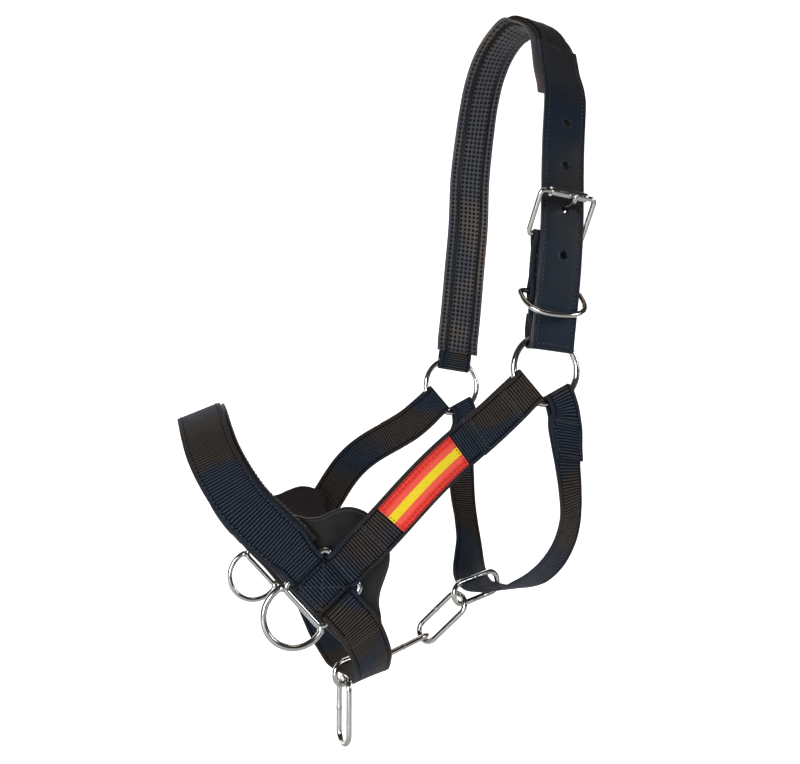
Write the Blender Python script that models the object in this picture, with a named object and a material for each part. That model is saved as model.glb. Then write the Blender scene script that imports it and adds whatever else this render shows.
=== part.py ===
"""Webbing and leather headcollar with chain links, held up by its poll strap.

Metres, +Z up.  The nose points to -X, the near (left) side is -Y, the far side is +Y.
The origin is the underside of the poll padding at its highest point.
Every strap is a band that follows a rail: a smooth line through control points with its own
across direction.  A band is written as (s, v) pairs: s along the rail, v off it, outward.
"""
import math

import bmesh
import bpy
import numpy as np
from mathutils import Vector

for old in list(bpy.data.objects):
    bpy.data.objects.remove(old, do_unlink=True)

MM = 0.001
DATUM_Z = 7.0           # the drawing datum lies this far above the origin, on the poll centre line

# ---- driving dimensions, millimetres -------------------------------------------------------
WEB_W = 24.6            # webbing width
FOLD_W = 23.2           # the same where it folds round a bar or ring
RING_FOLD_W = 23.0      # and round a cheek ring
WEB_T = 1.5             # webbing thickness
GAP = 0.3               # room left between neighbouring layers
RING_MEAN = 20.7        # cheek ring, radius to the wire centre
RING_WIRE = 2.0
FOLD_EASE = 0.9         # extra depth of a fold over the curved ring wire
SQUARE_HALF = 15.5      # halter square, centre to the middle of a bar
SQUARE_WIRE = 1.75
SQUARE_CORNER = 3.6
DEE_RADIUS = 17.2       # half ring welded to the lower front bar
DEE_OFFSET = 5.4
LINK_LENGTH = 44.0      # chain link, outside
LINK_WIDTH = 18.0
LINK_WIRE = 1.85
PAD_W = 33.0            # poll padding
CHANNEL_W = 17.0        # its raised middle
TIP_W = 28.0            # leather tip strap
TIP_T = 2.8
OVERLAY_W = 20.0
OVERLAY_T = 1.2
NOSE_W = 27.4             # the noseband is a little wider than the other straps
NOSE_LINING_W = 29.0
NOSE_LINING_SHIFT = 1.1     # the lining shows more at the rear edge
RIBBON_W = 20.5
HOLE_D = 5.0            # adjusting holes in the tip strap
HOLE_PITCH = 28.2
BUCKLE_W = 36.2         # buckle frame, wire centre to wire centre
BUCKLE_H = 27.0
BUCKLE_WIRE = 1.6
ROLLER_R = 2.9
ROLLER_LEN = 24.0
TONGUE_WIRE = 1.3
KEEPER_W = 39.5
KEEPER_REACH = 23.0
KEEPER_WIRE = 1.6

# ---- key places, millimetres; y is the distance out from the middle plane -------------------
RING_C = (-28.5, 80.8, -257.0)
SQUARE_C = (-163.0, 79.0, -380.0)
CHEEK_DIR = (0.738, 0.675)          # x, z from the square to the ring
BUCKLE_BAR = (-22.9, -83.5, -177.5)
BUCKLE_UP = (0.10, -0.50, 0.86)
KEEPER_BAR = (-26.2, -81.9, -210.0)
KEEPER_OUT = (0.03, -0.70, -0.71)
LINK_A = ((-121.7, 0.0, -443.5), 24.6, 7.7, 2.8)
LINK_B = ((-133.05, -4.8, -468.65), 102.0, -90.0, 0.0)
LINK_C = ((-90.8, 11.7, -436.2), 5.6, 19.8, 71.3)
LINK_D = ((-64.0, 5.2, -416.7), -35.3, 44.3, -21.1)
LINK_E = ((-39.8, 4.2, -398.0), 21.3, 10.7, 0.9)


# ---- small helpers --------------------------------------------------------------------------
def vec(*xyz):
    return np.array(xyz, float)


def unit(v):
    v = np.asarray(v, float)
    return v / np.linalg.norm(v)


MATERIALS = {}


def material(name, colour, rough, metal=0.0):
    if name not in MATERIALS:
        mat = bpy.data.materials.new(name)
        mat.use_nodes = True
        bsdf = mat.node_tree.nodes["Principled BSDF"]
        bsdf.inputs["Base Color"].default_value = (*colour, 1.0)
        bsdf.inputs["Roughness"].default_value = rough
        bsdf.inputs["Metallic"].default_value = metal
        mat.diffuse_color = (*colour, 1.0)
        MATERIALS[name] = mat
    return MATERIALS[name]


def webbing():
    return material("webbing_black", (0.012, 0.012, 0.014), 0.85)


def leather():
    return material("leather_black", (0.016, 0.015, 0.015), 0.45)


def lining():
    return material("lining_dark", (0.030, 0.025, 0.022), 0.6)


def pad_leather():
    return material("pad_leather", (0.025, 0.022, 0.021), 0.5)


def pad_cloth():
    return material("pad_cloth", (0.035, 0.020, 0.024), 0.9)


def steel():
    return material("polished_steel", (0.70, 0.69, 0.67), 0.18, 1.0)


def ribbon_cloth():
    return material("ribbon_cloth", (0.70, 0.05, 0.03), 0.8)


def finish(name, verts, faces, mat, origin=(0.0, 0.0, 0.0), smooth=True):
    """One mesh object from vertices in millimetres; its origin is set to the given point."""
    mesh = bpy.data.meshes.new(name)
    base = np.asarray(origin, float)
    shift = vec(0, 0, DATUM_Z) if np.any(base) else vec(0, 0, 0)
    lift = vec(0, 0, 0) if np.any(base) else vec(0, 0, DATUM_Z)
    mesh.from_pydata([tuple((np.asarray(v) - base + lift) * MM) for v in verts], [], faces)
    mesh.materials.append(mat)
    bm = bmesh.new()
    bm.from_mesh(mesh)
    bmesh.ops.recalc_face_normals(bm, faces=bm.faces)
    bmesh.ops.triangulate(bm, faces=bm.faces)
    bm.to_mesh(mesh)
    bm.free()
    for poly in mesh.polygons:
        poly.use_smooth = smooth
    obj = bpy.data.objects.new(name, mesh)
    obj.location = tuple((base + shift) * MM)
    bpy.context.scene.collection.objects.link(obj)
    return obj


def loft(rings, closed=False):
    """Vertices and faces of a closed body through rings of points."""
    n = len(rings[0])
    verts = [p for ring in rings for p in ring]
    faces = []
    count = len(rings)
    for i in range(count if closed else count - 1):
        a, b = i * n, ((i + 1) % count) * n
        for k in range(n):
            m = (k + 1) % n
            faces.append((a + k, a + m, b + m, b + k))
    if not closed:
        faces.append(tuple(range(n - 1, -1, -1)))
        last = (count - 1) * n
        faces.append(tuple(last + k for k in range(n)))
    return verts, faces


def tube(points, radius, closed=False, sides=8, up=None):
    """A round wire along the points; the radius is one number or one for each point."""
    pts = [np.asarray(p, float) for p in points]
    count = len(pts)
    radii = [radius] * count if np.isscalar(radius) else list(radius)
    rings = []
    side = None
    for i, p in enumerate(pts):
        if closed:
            tan = unit(pts[(i + 1) % count] - pts[i - 1])
        else:
            tan = unit(pts[min(i + 1, count - 1)] - pts[max(i - 1, 0)])
        if up is not None:
            guess = np.asarray(up, float)
        else:
            guess = side if side is not None else vec(0.3, 0.5, 0.8)
        side = unit(guess - tan * np.dot(guess, tan))
        other = np.cross(tan, side)
        ring = []
        for k in range(sides):
            a = 2 * math.pi * k / sides
            ring.append(p + radii[i] * (side * math.cos(a) + other * math.sin(a)))
        rings.append(ring)
    return loft(rings, closed)


class Rail:
    """Smooth line through control points, with arc length, across direction and outward normal."""

    def __init__(self, points, across, outward):
        pts = np.array(points, float)
        acr = np.array(across, float)
        dense, acrosses = [], []
        count = len(pts)
        for i in range(count - 1):
            p0 = pts[i - 1] if i else 2 * pts[0] - pts[1]
            p3 = pts[i + 2] if i + 2 < count else 2 * pts[-1] - pts[-2]
            p1, p2 = pts[i], pts[i + 1]
            t = [0.0]
            for a, b in ((p0, p1), (p1, p2), (p2, p3)):
                t.append(t[-1] + max(np.linalg.norm(b - a), 1e-6) ** 0.5)
            for u in np.linspace(t[1], t[2], 17)[:-1]:
                a1 = (t[1] - u) / (t[1] - t[0]) * p0 + (u - t[0]) / (t[1] - t[0]) * p1
                a2 = (t[2] - u) / (t[2] - t[1]) * p1 + (u - t[1]) / (t[2] - t[1]) * p2
                a3 = (t[3] - u) / (t[3] - t[2]) * p2 + (u - t[2]) / (t[3] - t[2]) * p3
                b1 = (t[2] - u) / (t[2] - t[0]) * a1 + (u - t[0]) / (t[2] - t[0]) * a2
                b2 = (t[3] - u) / (t[3] - t[1]) * a2 + (u - t[1]) / (t[3] - t[1]) * a3
                dense.append((t[2] - u) / (t[2] - t[1]) * b1 + (u - t[1]) / (t[2] - t[1]) * b2)
                w = (u - t[1]) / (t[2] - t[1])
                acrosses.append(acr[i] * (1 - w) + acr[i + 1] * w)
        dense.append(pts[-1])
        acrosses.append(acr[-1])
        self.p = np.array(dense)
        self.a = np.array(acrosses)
        step = np.linalg.norm(np.diff(self.p, axis=0), axis=1)
        self.s = np.concatenate([[0.0], np.cumsum(step)])
        self.length = self.s[-1]
        self.outward = outward

    def pick(self, table, s):
        return np.array([np.interp(s, self.s, table[:, k]) for k in range(3)])

    def frame(self, s):
        inside = min(max(s, 0.0), self.length)
        tan = unit(self.pick(self.p, min(inside + 1.0, self.length)) -
                   self.pick(self.p, max(inside - 1.0, 0.0)))
        pos = self.pick(self.p, inside) + tan * (s - inside)
        a = self.pick(self.a, inside)
        a = unit(a - tan * np.dot(a, tan))
        n = np.cross(tan, a)
        if np.dot(n, self.outward(pos)) < 0:
            n = -n
        return pos, tan, a, n

    def at(self, s, v):
        pos, tan, a, n = self.frame(s)
        return pos + n * v, a

    def steps(self, a, b, turn=6.0, longest=22.0):
        """Stations from a to b: close where the rail bends, the same for every band on the rail."""
        tan = np.diff(self.p, axis=0)
        tan /= np.linalg.norm(tan, axis=1)[:, None]
        bend = np.degrees(np.arccos(np.clip(np.sum(tan[1:] * tan[:-1], axis=1), -1, 1)))
        acr = self.a / np.linalg.norm(self.a, axis=1)[:, None]
        roll = np.degrees(np.arccos(np.clip(np.sum(acr[1:] * acr[:-1], axis=1), -1, 1)))
        grow = np.diff(self.s) / longest + roll / 10.0
        grow[1:] += bend / turn
        total = np.concatenate([[0.0], np.cumsum(grow)])
        marks = np.interp(np.arange(1, int(total[-1]) + 1), total, self.s)
        lo, hi = min(a, b), max(a, b)
        out = [lo]
        for m in marks:
            if out[-1] + 2.2 < m < hi - 2.2:
                out.append(float(m))
        out.append(hi)
        return out if a <= b else out[::-1]

    def where(self, test):
        """Arc length of the first dense point that passes the test."""
        for s, p in zip(self.s, self.p):
            if test(p):
                return s
        return self.length


def strap_section(width, thick, edge=0.45):
    """Cross-section of a strap: flat faces with narrow rounded edges."""
    w, t = width / 2, thick / 2
    e = min(edge, t)
    return [(w, 0.0), (w - e, t), (-w + e, t), (-w, 0.0), (-w + e, -t), (w - e, -t)]


def band(name, rail, sv, section, mat, widths=None):
    """A strap along the (s, v) pairs of a rail, mitred at its folds; widths(s) scales its width."""
    pts, acr, normals = [], [], []
    for i, (s, v) in enumerate(sv):
        pos, tan, a, n = rail.frame(s)
        pts.append(pos + n * v)
        acr.append(a)
        near = [sv[k][1] for k in (i - 1, i + 1) if 0 <= k < len(sv)]
        normals.append(n if all(abs(x - v) < 0.9 for x in near) else None)
    scale = None
    if widths is not None:
        def scale(i, base):
            return [(x * widths(sv[i][0]), y) for x, y in base]
    return sweep(name, pts, acr, section, mat, scale, normals)


def sweep(name, pts, acr, section, mat, scale=None, normals=None):
    """A section carried along points; where a normal is given the section lies on it, else mitred."""
    rings = []
    count = len(pts)
    for i in range(count):
        before = unit(pts[i] - pts[i - 1]) if i else None
        after = unit(pts[i + 1] - pts[i]) if i < count - 1 else None
        tan = unit((before if before is not None else after) + (after if after is not None else before))
        a = unit(acr[i] - tan * np.dot(acr[i], tan))
        n = np.cross(tan, a)
        stretch = 1.0
        if normals is not None and normals[i] is not None:
            a = unit(acr[i])
            n = normals[i] * (1.0 if np.dot(normals[i], n) > 0 else -1.0)
        elif before is not None and after is not None:
            stretch = 1.0 / max(math.sqrt((1 + float(np.dot(before, after))) / 2), 0.6)
        prof = section if scale is None else scale(i, section)
        rings.append([pts[i] + a * x + n * y * stretch for x, y in prof])
    verts, faces = loft(rings)
    return finish(name, verts, faces, mat)


def smooth01(x):
    x = min(max(x, 0.0), 1.0)
    return x * x * (3 - 2 * x)


def fold_spread(s, low=0.9, reach=24.0, join=36.0):
    """Half the distance between the two layers of a strap at s from a cheek ring's centre."""
    r = RING_WIRE + GAP + WEB_T / 2
    return low + (r - low) * (1 - smooth01((s - reach) / (join - reach)))


def ring_fold(width=RING_FOLD_W, flap=62.0, marks=(), low=0.9):
    """(s, v) from the flap end, round a cheek ring, and back to where the layers lie together.

    s is measured from the ring centre; marks are extra stations along the flap.
    """
    r = RING_WIRE + GAP + WEB_T / 2
    turn = math.sqrt(RING_MEAN ** 2 - (width / 2) ** 2) - FOLD_EASE
    ends = [(flap, low)] + [(s, low) for s in marks if 39.0 < s < flap - 1.5]
    turns = [(s, fold_spread(s, low)) for s in (37.0, 33.0, 30.0, 27.0, 24.0, turn + 3.0)]
    arc = [(turn - r * math.sin(math.radians(d)), r * math.cos(math.radians(d)))
           for d in range(0, 181, 20)]
    back = [(s, -v) for s, v in reversed(turns)]
    return ends + turns + arc + back


def bar_fold(flap=26.0, radius=None, low=0.9, join=11.0, low_out=None):
    """(s, v) from the outward layer, round a straight bar at s = 0, to the end of the inner flap."""
    r = radius if radius else SQUARE_WIRE + GAP + WEB_T / 2
    top = low if low_out is None else low_out

    def v_at(s, rest):
        return rest + (r - rest) * (1 - smooth01((s - 1.0) / (join - 1.0)))

    steps = (join, join * 0.75, join * 0.5, join * 0.25)
    out = [(s, v_at(s, top)) for s in steps]
    arc = [(-r * math.sin(math.radians(d)), r * math.cos(math.radians(d))) for d in range(0, 181, 20)]
    back = [(s, -v_at(s, low)) for s in reversed(steps)]
    return out + arc + back + [(flap, -low)]


def mirrored(point, side):
    return vec(point[0], abs(point[1]) * side, point[2])


def cut(target, cutter):
    mod = target.modifiers.new("cut", "BOOLEAN")
    mod.operation = "DIFFERENCE"
    mod.solver = "EXACT"
    mod.object = cutter
    cutter.hide_render = True
    cutter.display_type = "WIRE"


# ---- metalwork ------------------------------------------------------------------------------
def cheek_ring(name, side):
    c = mirrored(RING_C, side)
    pts = [c + RING_MEAN * vec(math.cos(a), 0, math.sin(a))
           for a in np.linspace(0, 2 * math.pi, 33)[:-1]]
    verts, faces = tube(pts, RING_WIRE, closed=True, up=(0, 1, 0))
    return finish(name, verts, faces, steel(), origin=c)


def square_axes(side):
    e1 = vec(CHEEK_DIR[0], 0, CHEEK_DIR[1])
    e1 = unit(e1)
    e2 = vec(-e1[2], 0, e1[0])
    return mirrored(SQUARE_C, side), e1, e2


def nose_square(name, side):
    """Square ring with the half ring welded to its lower front bar."""
    c, e1, e2 = square_axes(side)
    h, r = SQUARE_HALF, SQUARE_CORNER
    pts = []
    for k in range(4):
        ca, sa = round(math.cos(k * math.pi / 2)), round(math.sin(k * math.pi / 2))
        for d in range(0, 91, 18):
            x = h - r + r * math.cos(math.radians(d))
            y = h - r + r * math.sin(math.radians(d))
            pts.append(c + e1 * (x * ca - y * sa) + e2 * (x * sa + y * ca))
    verts, faces = tube(pts, SQUARE_WIRE, closed=True, up=(0, 1, 0))
    obj = finish(name, verts, faces, steel())
    end = math.degrees(math.acos(DEE_OFFSET / DEE_RADIUS))
    arc = []
    for d in np.linspace(end + 2, 360 - end - 2, 23):
        a = math.radians(d)
        arc.append(c - e1 * (h + DEE_OFFSET) + DEE_RADIUS * (e1 * math.cos(a) + e2 * math.sin(a)))
    root = h - r + r * math.cos(math.radians(45))
    first = c - e1 * root + e2 * root
    last = c - e1 * root - e2 * root
    pts = [first] + arc + [last]
    radii = [1.0] + [SQUARE_WIRE + 0.07] * len(arc) + [1.0]
    verts, faces = tube(pts, radii, up=(0, 1, 0))
    dee = finish(name + "_dee", verts, faces, steel())
    mod = obj.modifiers.new("weld", "BOOLEAN")
    mod.operation = "UNION"
    mod.solver = "EXACT"
    mod.object = dee
    dee.hide_render = True
    dee.display_type = "WIRE"
    return obj


def link_frame(spec):
    c, az, el, roll = spec
    az, el, roll = (math.radians(x) for x in (az, el, roll))
    a = vec(math.cos(el) * math.cos(az), math.cos(el) * math.sin(az), math.sin(el))
    if abs(a[2]) > 0.999:
        b = vec(math.cos(az), math.sin(az), 0)
        return vec(*c), a, b
    b0 = unit(vec(0, 0, 1) - a * a[2])
    c0 = np.cross(a, b0)
    return vec(*c), a, b0 * math.cos(roll) + c0 * math.sin(roll)


def chain_link(name, spec):
    c, a, b = link_frame(spec)
    r = LINK_WIDTH / 2 - LINK_WIRE
    half = LINK_LENGTH / 2 - LINK_WIDTH / 2
    pts = []
    for sign in (1, -1):
        for d in range(-90, 91, 18):
            t = math.radians(d)
            pts.append(c + sign * (a * (half + r * math.cos(t)) + b * r * math.sin(t)))
    verts, faces = tube(pts, LINK_WIRE, closed=True, up=np.cross(a, b))
    return finish(name, verts, faces, steel(), origin=c)


def buckle_axes():
    up = unit(BUCKLE_UP)
    w = unit(vec(1, 0, 0) - up * up[0])
    return vec(*BUCKLE_BAR), up, w


def buckle_frame():
    c, up, w = buckle_axes()
    r = 3.0
    corners = ((1, 0), (1, 1), (-1, 1), (-1, 0))
    pts = []
    for i, (sx, sy) in enumerate(corners):
        cx = sx * (BUCKLE_W / 2 - r)
        cy = r if sy == 0 else BUCKLE_H - r
        start = (-90, 0, 90, 180)[i]
        for d in range(0, 91, 18):
            t = math.radians(start + d)
            pts.append(c + w * (cx + r * math.cos(t)) + up * (cy + r * math.sin(t)))
    verts, faces = tube(pts, BUCKLE_WIRE, closed=True, up=np.cross(w, up))
    return finish("buckle_frame", verts, faces, steel(), origin=c)


def buckle_roller():
    c, up, w = buckle_axes()
    mid = c + up * BUCKLE_H
    n = np.cross(w, up)
    rings = []
    inner = BUCKLE_WIRE + GAP
    h = ROLLER_LEN / 2
    profile = [(-h, inner), (h, inner), (h, ROLLER_R - 0.3), (h - 0.3, ROLLER_R),
               (-h + 0.3, ROLLER_R), (-h, ROLLER_R - 0.3)]
    for k in range(20):
        a = 2 * math.pi * k / 20
        rad = up * math.cos(a) + n * math.sin(a)
        rings.append([mid + w * x + rad * r for x, r in profile])
    verts, faces = loft(rings, closed=True)
    return finish("buckle_roller", verts, faces, steel(), origin=mid)


def buckle_tongue():
    """Hook on the bottom bar, then out through the hole and on to the roller."""
    c, up, w = buckle_axes()
    r = BUCKLE_WIRE + GAP + TONGUE_WIRE
    x = c[0] + 0.6
    pts = [vec(x, c[1] + r * math.cos(math.radians(d)), c[2] + r * math.sin(math.radians(d)))
           for d in range(-150, 81, 23)]
    top = c + up * BUCKLE_H
    pts += [vec(x + 0.6, -84.0, -171.2), vec(x + 1.8, -84.0, -167.4), vec(x + 2.9, -84.1, -164.3),
            vec(x + 3.6, -85.2, -161.6), vec(x + 3.9, -87.6, -160.4), vec(x + 4.1, -91.0, -159.7)]
    for y, z in ((2.5, -5.4), (-0.4, -5.3), (-3.1, -4.3), (-4.7, -2.4), (-5.3, -0.2)):
        pts.append(vec(x + 4.4, top[1] + y, top[2] + z))
    verts, faces = tube(pts, TONGUE_WIRE)
    return finish("buckle_tongue", verts, faces, steel(), origin=c)


def keeper_ring():
    """D-shaped loop: the straight bar sits in the billet fold, the curve goes round the front."""
    c = vec(*KEEPER_BAR)
    w = vec(1, 0, 0.0)
    out = unit(KEEPER_OUT)
    out = unit(out - w * out[0])
    h = KEEPER_W / 2
    pts = []
    r = 3.0
    for d in range(180, 271, 30):
        t = math.radians(d)
        pts.append(c + w * (-h + r + r * math.cos(t)) + out * (r + r * math.sin(t)))
    for d in range(270, 361, 30):
        t = math.radians(d)
        pts.append(c + w * (h - r + r * math.cos(t)) + out * (r + r * math.sin(t)))
    for k in range(0, 17):
        t = math.pi * k / 16
        x = h * math.copysign(abs(math.cos(t)) ** 0.8, math.cos(t))
        y = 6.0 + (KEEPER_REACH - 6.0) * math.sin(t) ** 0.8
        pts.append(c + w * x + out * y)
    verts, faces = tube(pts, KEEPER_WIRE, closed=True, up=np.cross(w, out))
    return finish("keeper_ring", verts, faces, steel(), origin=c)


# ---- rails ----------------------------------------------------------------------------------
def side_out(side):
    return lambda p: vec(0, side, 0)


def cheek_rail(side):
    """From the square centre to the ring centre, arched and bowed out a little between them."""
    c, e1, e2 = square_axes(side)
    ring = mirrored(RING_C, side)
    d = ring - c
    run = math.hypot(d[0], d[2])
    lift = 4.5 if side < 0 else 8.5
    pts = []
    for s in np.linspace(0, run, 17):
        t = min(max((s - 0.17 * run) / (0.64 * run), 0.0), 1.0)
        bulge = math.sin(math.pi * t) ** 2
        flat = c + (ring - c) * (s / run)
        pts.append(vec(flat[0], c[1] + side * 8.0 * bulge, flat[2]) + e2 * lift * bulge)
    return Rail(pts, [e2] * len(pts), side_out(side))


CROWN_LOW = [(-28.5, 75.75, -257.0), (-27.0, 75.75, -245.0), (-25.4, 75.75, -233.0),
             (-23.8, 75.9, -221.0), (-21.0, 76.6, -199.0), (-17.6, 77.0, -165.0),
             (-14.6, 76.6, -132.0)]
CROWN_TOP_FAR = [(-13.0, 77.0, -98.7), (-12.6, 73.1, -81.0), (-12.5, 66.7, -63.8), (-13.1, 57.0, -46.6),
                 (-13.4, 44.0, -30.1), (-12.2, 28.0, -17.0), (-9.0, 12.0, -9.6)]
CROWN_TOP_NEAR = [(-0.8, 13.0, -14.2), (-1.8, 28.4, -25.1), (-4.3, 43.2, -38.9), (-8.1, 54.5, -54.1),
                  (-10.7, 62.9, -68.9), (-11.4, 70.0, -83.2), (-12.7, 74.1, -98.6)]


def crown_rail():
    """Inner face of the poll padding, from the far ring over the poll to the near side."""
    far = [vec(x, y, z) for x, y, z in CROWN_LOW + CROWN_TOP_FAR]
    near = [vec(x, -y, z) for x, y, z in CROWN_TOP_NEAR + list(reversed(CROWN_LOW))]
    pts = far + [vec(-4.4, 0, -DATUM_Z)] + near
    across = [vec(0.99, 0, 0.13)] * 4 + [vec(1, 0, 0.06)] * 4
    across += [vec(1, 0, r) for r in (0.145, 0.228, 0.285, 0.243, 0.156, 0.054)]
    across += [vec(1, 0, -0.1)]
    across += [vec(1, 0, r) for r in (-0.19, -0.241, -0.278, -0.273, -0.23, -0.14)]
    across += [vec(1, 0, 0.05)] * 4 + [vec(0.99, 0, 0.13)] * 4

    def outward(p):
        return vec(0, p[1], max(p[2] + 60.0, 0.0)) + vec(0, 0, 1e-3)

    return Rail(pts, across, outward)


def billet_rail():
    """From the near ring centre up past the keeper bar to the bottom bar of the buckle."""
    a = mirrored(RING_C, -1)
    bar, up, w = buckle_axes()
    k, b = vec(*KEEPER_BAR) - vec(1.0, 0, 0), bar - w * 2.3
    t = vec(0, -0.05, 1.0)
    t = unit(t - w * np.dot(t, w))
    pts = [a, a + vec(0.3, 0, 12), a + vec(0.5, 0, 24), a + vec(0.8, -0.2, 34), k, b - t * 16, b - t * 8, b]
    return Rail(pts, [vec(1, 0, -0.03)] * 5 + [w, w, w], side_out(-1))


def throat_rail():
    """From the near ring under the throat, through the last chain link, to the far ring."""
    d = unit(vec(math.cos(math.radians(299)), 0, math.sin(math.radians(299))))
    acr0 = vec(-d[2], 0, d[0])
    near = mirrored(RING_C, -1)
    far = mirrored(RING_C, 1)
    c, a, b = link_frame(LINK_E)
    n = unit(vec(0.10, -0.99, 0.0))
    low = c + a * 4.6 - b * 1.4

    def turned(deg, rise):
        return unit(vec(math.cos(math.radians(deg)), math.sin(math.radians(deg)), rise))

    half = [(-18.1, 80.8, -277.5), (-16.8, 81.8, -285.3), (-17.8, 85.0, -294.3), (-18.2, 87.4, -303.5),
            (-18.2, 89.8, -314.0)]
    rise = (0.42, 0.27, 0.12, 0.03, 0.0)
    pts = [near, near + d * 8, near + d * 16] + [vec(x, -y, z) for x, y, z in half]
    pts += [vec(-17.2, -90.8, -328.0), vec(-15.9, -88.6, -343.0),
            vec(-16.4, -81.5, -359.0), vec(-19.0, -67.5, -375.0), vec(-23.0, -46.0, -388.5),
            vec(-29.4, -22.0, -396.5), low + n * 5.0]
    acr = [acr0] * 3 + [turned(t, r) for t, r in zip((3, 10, 16, 22, 27), rise)]
    acr += [turned(31, 0.0), turned(35, -0.03), turned(33, -0.08), turned(30, -0.16), turned(26, -0.2),
            turned(20, 0.0), turned(15, 0.16)]
    pts += [low - n * 5.0, vec(-33.6, 29.0, -395.5), vec(-26.6, 50.0, -388.5), vec(-20.2, 67.5, -376.0),
            vec(-17.6, 80.0, -361.0), vec(-17.4, 87.0, -345.0), vec(-17.6, 90.0, -328.0)]
    acr += [turned(15, 0.16), turned(22, 0.13), turned(30, 0.1), turned(33, 0.07), turned(29, 0.05),
            turned(22, 0.03), turned(16, 0.02)]
    pts += [vec(x, y, z) for x, y, z in reversed(half)] + [far + d * 16, far + d * 8, far]
    acr += [turned(t, r) for t, r in zip((14, 12, 9, 5, 0), reversed(rise))] + [acr0] * 3

    def outward(p):
        return vec(0, p[1] * 0.9, -60.0 if p[2] < -375 else 0.0) + vec(0, 0, -1e-3)

    return Rail(pts, acr, outward)


def nose_rail():
    """From the near square bar over the nose to the far square bar."""
    c, e1, e2 = square_axes(-1)
    bar = c + e2 * SQUARE_HALF
    half = [bar, bar + e2 * 6 + vec(0, -0.4, 0), bar + e2 * 12 + vec(0, -0.9, 0),
            vec(-189.2, -81.0, -352.0), vec(-197.0, -80.8, -343.2), vec(-204.5, -77.5, -333.0),
            vec(-212.0, -70.0, -319.5), vec(-218.0, -57.0, -306.0), vec(-222.0, -40.0, -294.5),
            vec(-224.0, -20.0, -286.0)]
    acr_half = [e1, e1, e1, vec(0.76, 0, 0.65), vec(0.78, 0, 0.62), vec(0.81, 0, 0.59),
                vec(0.85, 0, 0.52), vec(0.89, 0, 0.46), vec(0.91, 0, 0.41), vec(0.92, 0, 0.39)]
    sway = (0, 0, 0, 0.5, 1.5, 3.0, 4.0, 4.0, 2.5, 1.0)
    fore = [p - unit(a) * k for p, a, k in zip(half, acr_half, sway)]
    back = [vec(p[0], -p[1], p[2]) + unit(a) * 1.35 * k for p, a, k in zip(half, acr_half, sway)]
    pts = fore + [vec(-224.4, 0, -283.1)] + back[::-1]
    acr = acr_half + [vec(0.92, 0, 0.39)] + list(reversed(acr_half))

    def outward(p):
        return vec(-1.0 if p[0] < -205 else 0.0, p[1] * 0.6, 1.2 if p[0] < -205 else 0.0)

    return Rail(pts, acr, outward)


def chin_rail():
    """From the near square bar under the jaw, through the first link, to the far square bar."""
    c, e1, e2 = square_axes(-1)
    bar = c - e2 * SQUARE_HALF
    lc, a, b = link_frame(LINK_A)
    low = lc + a * 1.6 - b * 3.05
    half = [bar, bar - e2 * 6, bar - e2 * 12 + vec(0, -0.2, 0)]
    near = half + [vec(-140.5, -77.0, -406.0), vec(-134.5, -70.5, -416.5), vec(-129.0, -58.5, -427.0),
                   vec(-125.0, -41.0, -436.5), vec(-121.5, -22.0, -443.0)]
    far = [vec(p[0], -p[1], p[2]) for p in half] + \
        [vec(-139.9, 79.0, -405.8), vec(-135.2, 74.5, -416.5), vec(-131.0, 62.5, -429.0),
         vec(-127.0, 45.0, -438.8), vec(-124.0, 24.0, -445.6)]
    acr_near = [e1] * 3 + [vec(0.77, 0, 0.64), vec(0.81, 0, 0.58), vec(0.86, 0, 0.5),
                           vec(0.9, 0.0, 0.38), vec(0.93, 0.05, 0.25)]
    acr_far = [e1] * 3 + [vec(0.77, 0, 0.64), vec(0.81, 0, 0.58), vec(0.86, 0.05, 0.5),
                          vec(0.88, 0.15, 0.34), vec(0.95, 0.15, 0.16)]
    mid = unit(vec(0.98, 0.12, a[2]))
    pts = near + [low + vec(0.2, -5, 0.2), low + vec(-0.2, 5, -0.2)] + list(reversed(far))
    acr = acr_near + [mid, mid] + list(reversed(acr_far))

    def outward(p):
        return vec(0, p[1], -40.0 if p[2] < -425 else 0.0) + vec(0, 0, -1e-3)

    return Rail(pts, acr, outward)


# ---- straps ---------------------------------------------------------------------------------
def fold_widths(length, start, end, low_start, low_end=None, run=14.0):
    """Width factor along a strap that is squeezed at both of its folds."""
    low_end = low_start if low_end is None else low_end

    def at(s):
        a = low_start + (1 - low_start) * smooth01((s - start) / run)
        b = low_end + (1 - low_end) * smooth01((end - s) / run)
        return min(a, b)

    return at


def cheek_strap(name, side):
    """Folded round the square bar (flap inside) and round the cheek ring (flap outside)."""
    rail = cheek_rail(side)
    run = rail.length
    at_bar = [(SQUARE_HALF + s, v) for s, v in bar_fold(flap=25.0)]
    marks = [run - s for s in rail.steps(run - 64.5, run - 36.0)]
    at_ring = [(run - s, v + 1.8) for s, v in ring_fold(flap=64.5, marks=marks)]
    body = [(s, 0.9) for s in rail.steps(SQUARE_HALF + 14, run - 40)]
    sv = list(reversed(at_bar)) + body + list(reversed(at_ring))
    bar_squeeze = fold_widths(run, 20.0, run + 50.0, FOLD_W / WEB_W)
    ring_squeeze = fold_widths(run, -50.0, run - 22.0, RING_FOLD_W / WEB_W)

    def widths(s):
        return min(bar_squeeze(s), ring_squeeze(s))

    return band(name, rail, sv, strap_section(WEB_W, WEB_T), webbing(), widths)


def ribbon(name, side):
    """Striped ribbon sewn on the middle of the cheek strap."""
    rail = cheek_rail(side)
    start, end = rail.length - 131.5, rail.length - 76.5
    v = 0.9 + WEB_T / 2 + GAP + 0.35
    sv = [(s, v) for s in rail.steps(start, end)]
    return band(name, rail, sv, strap_section(RIBBON_W, 0.7, 0.3), ribbon_cloth())


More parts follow.
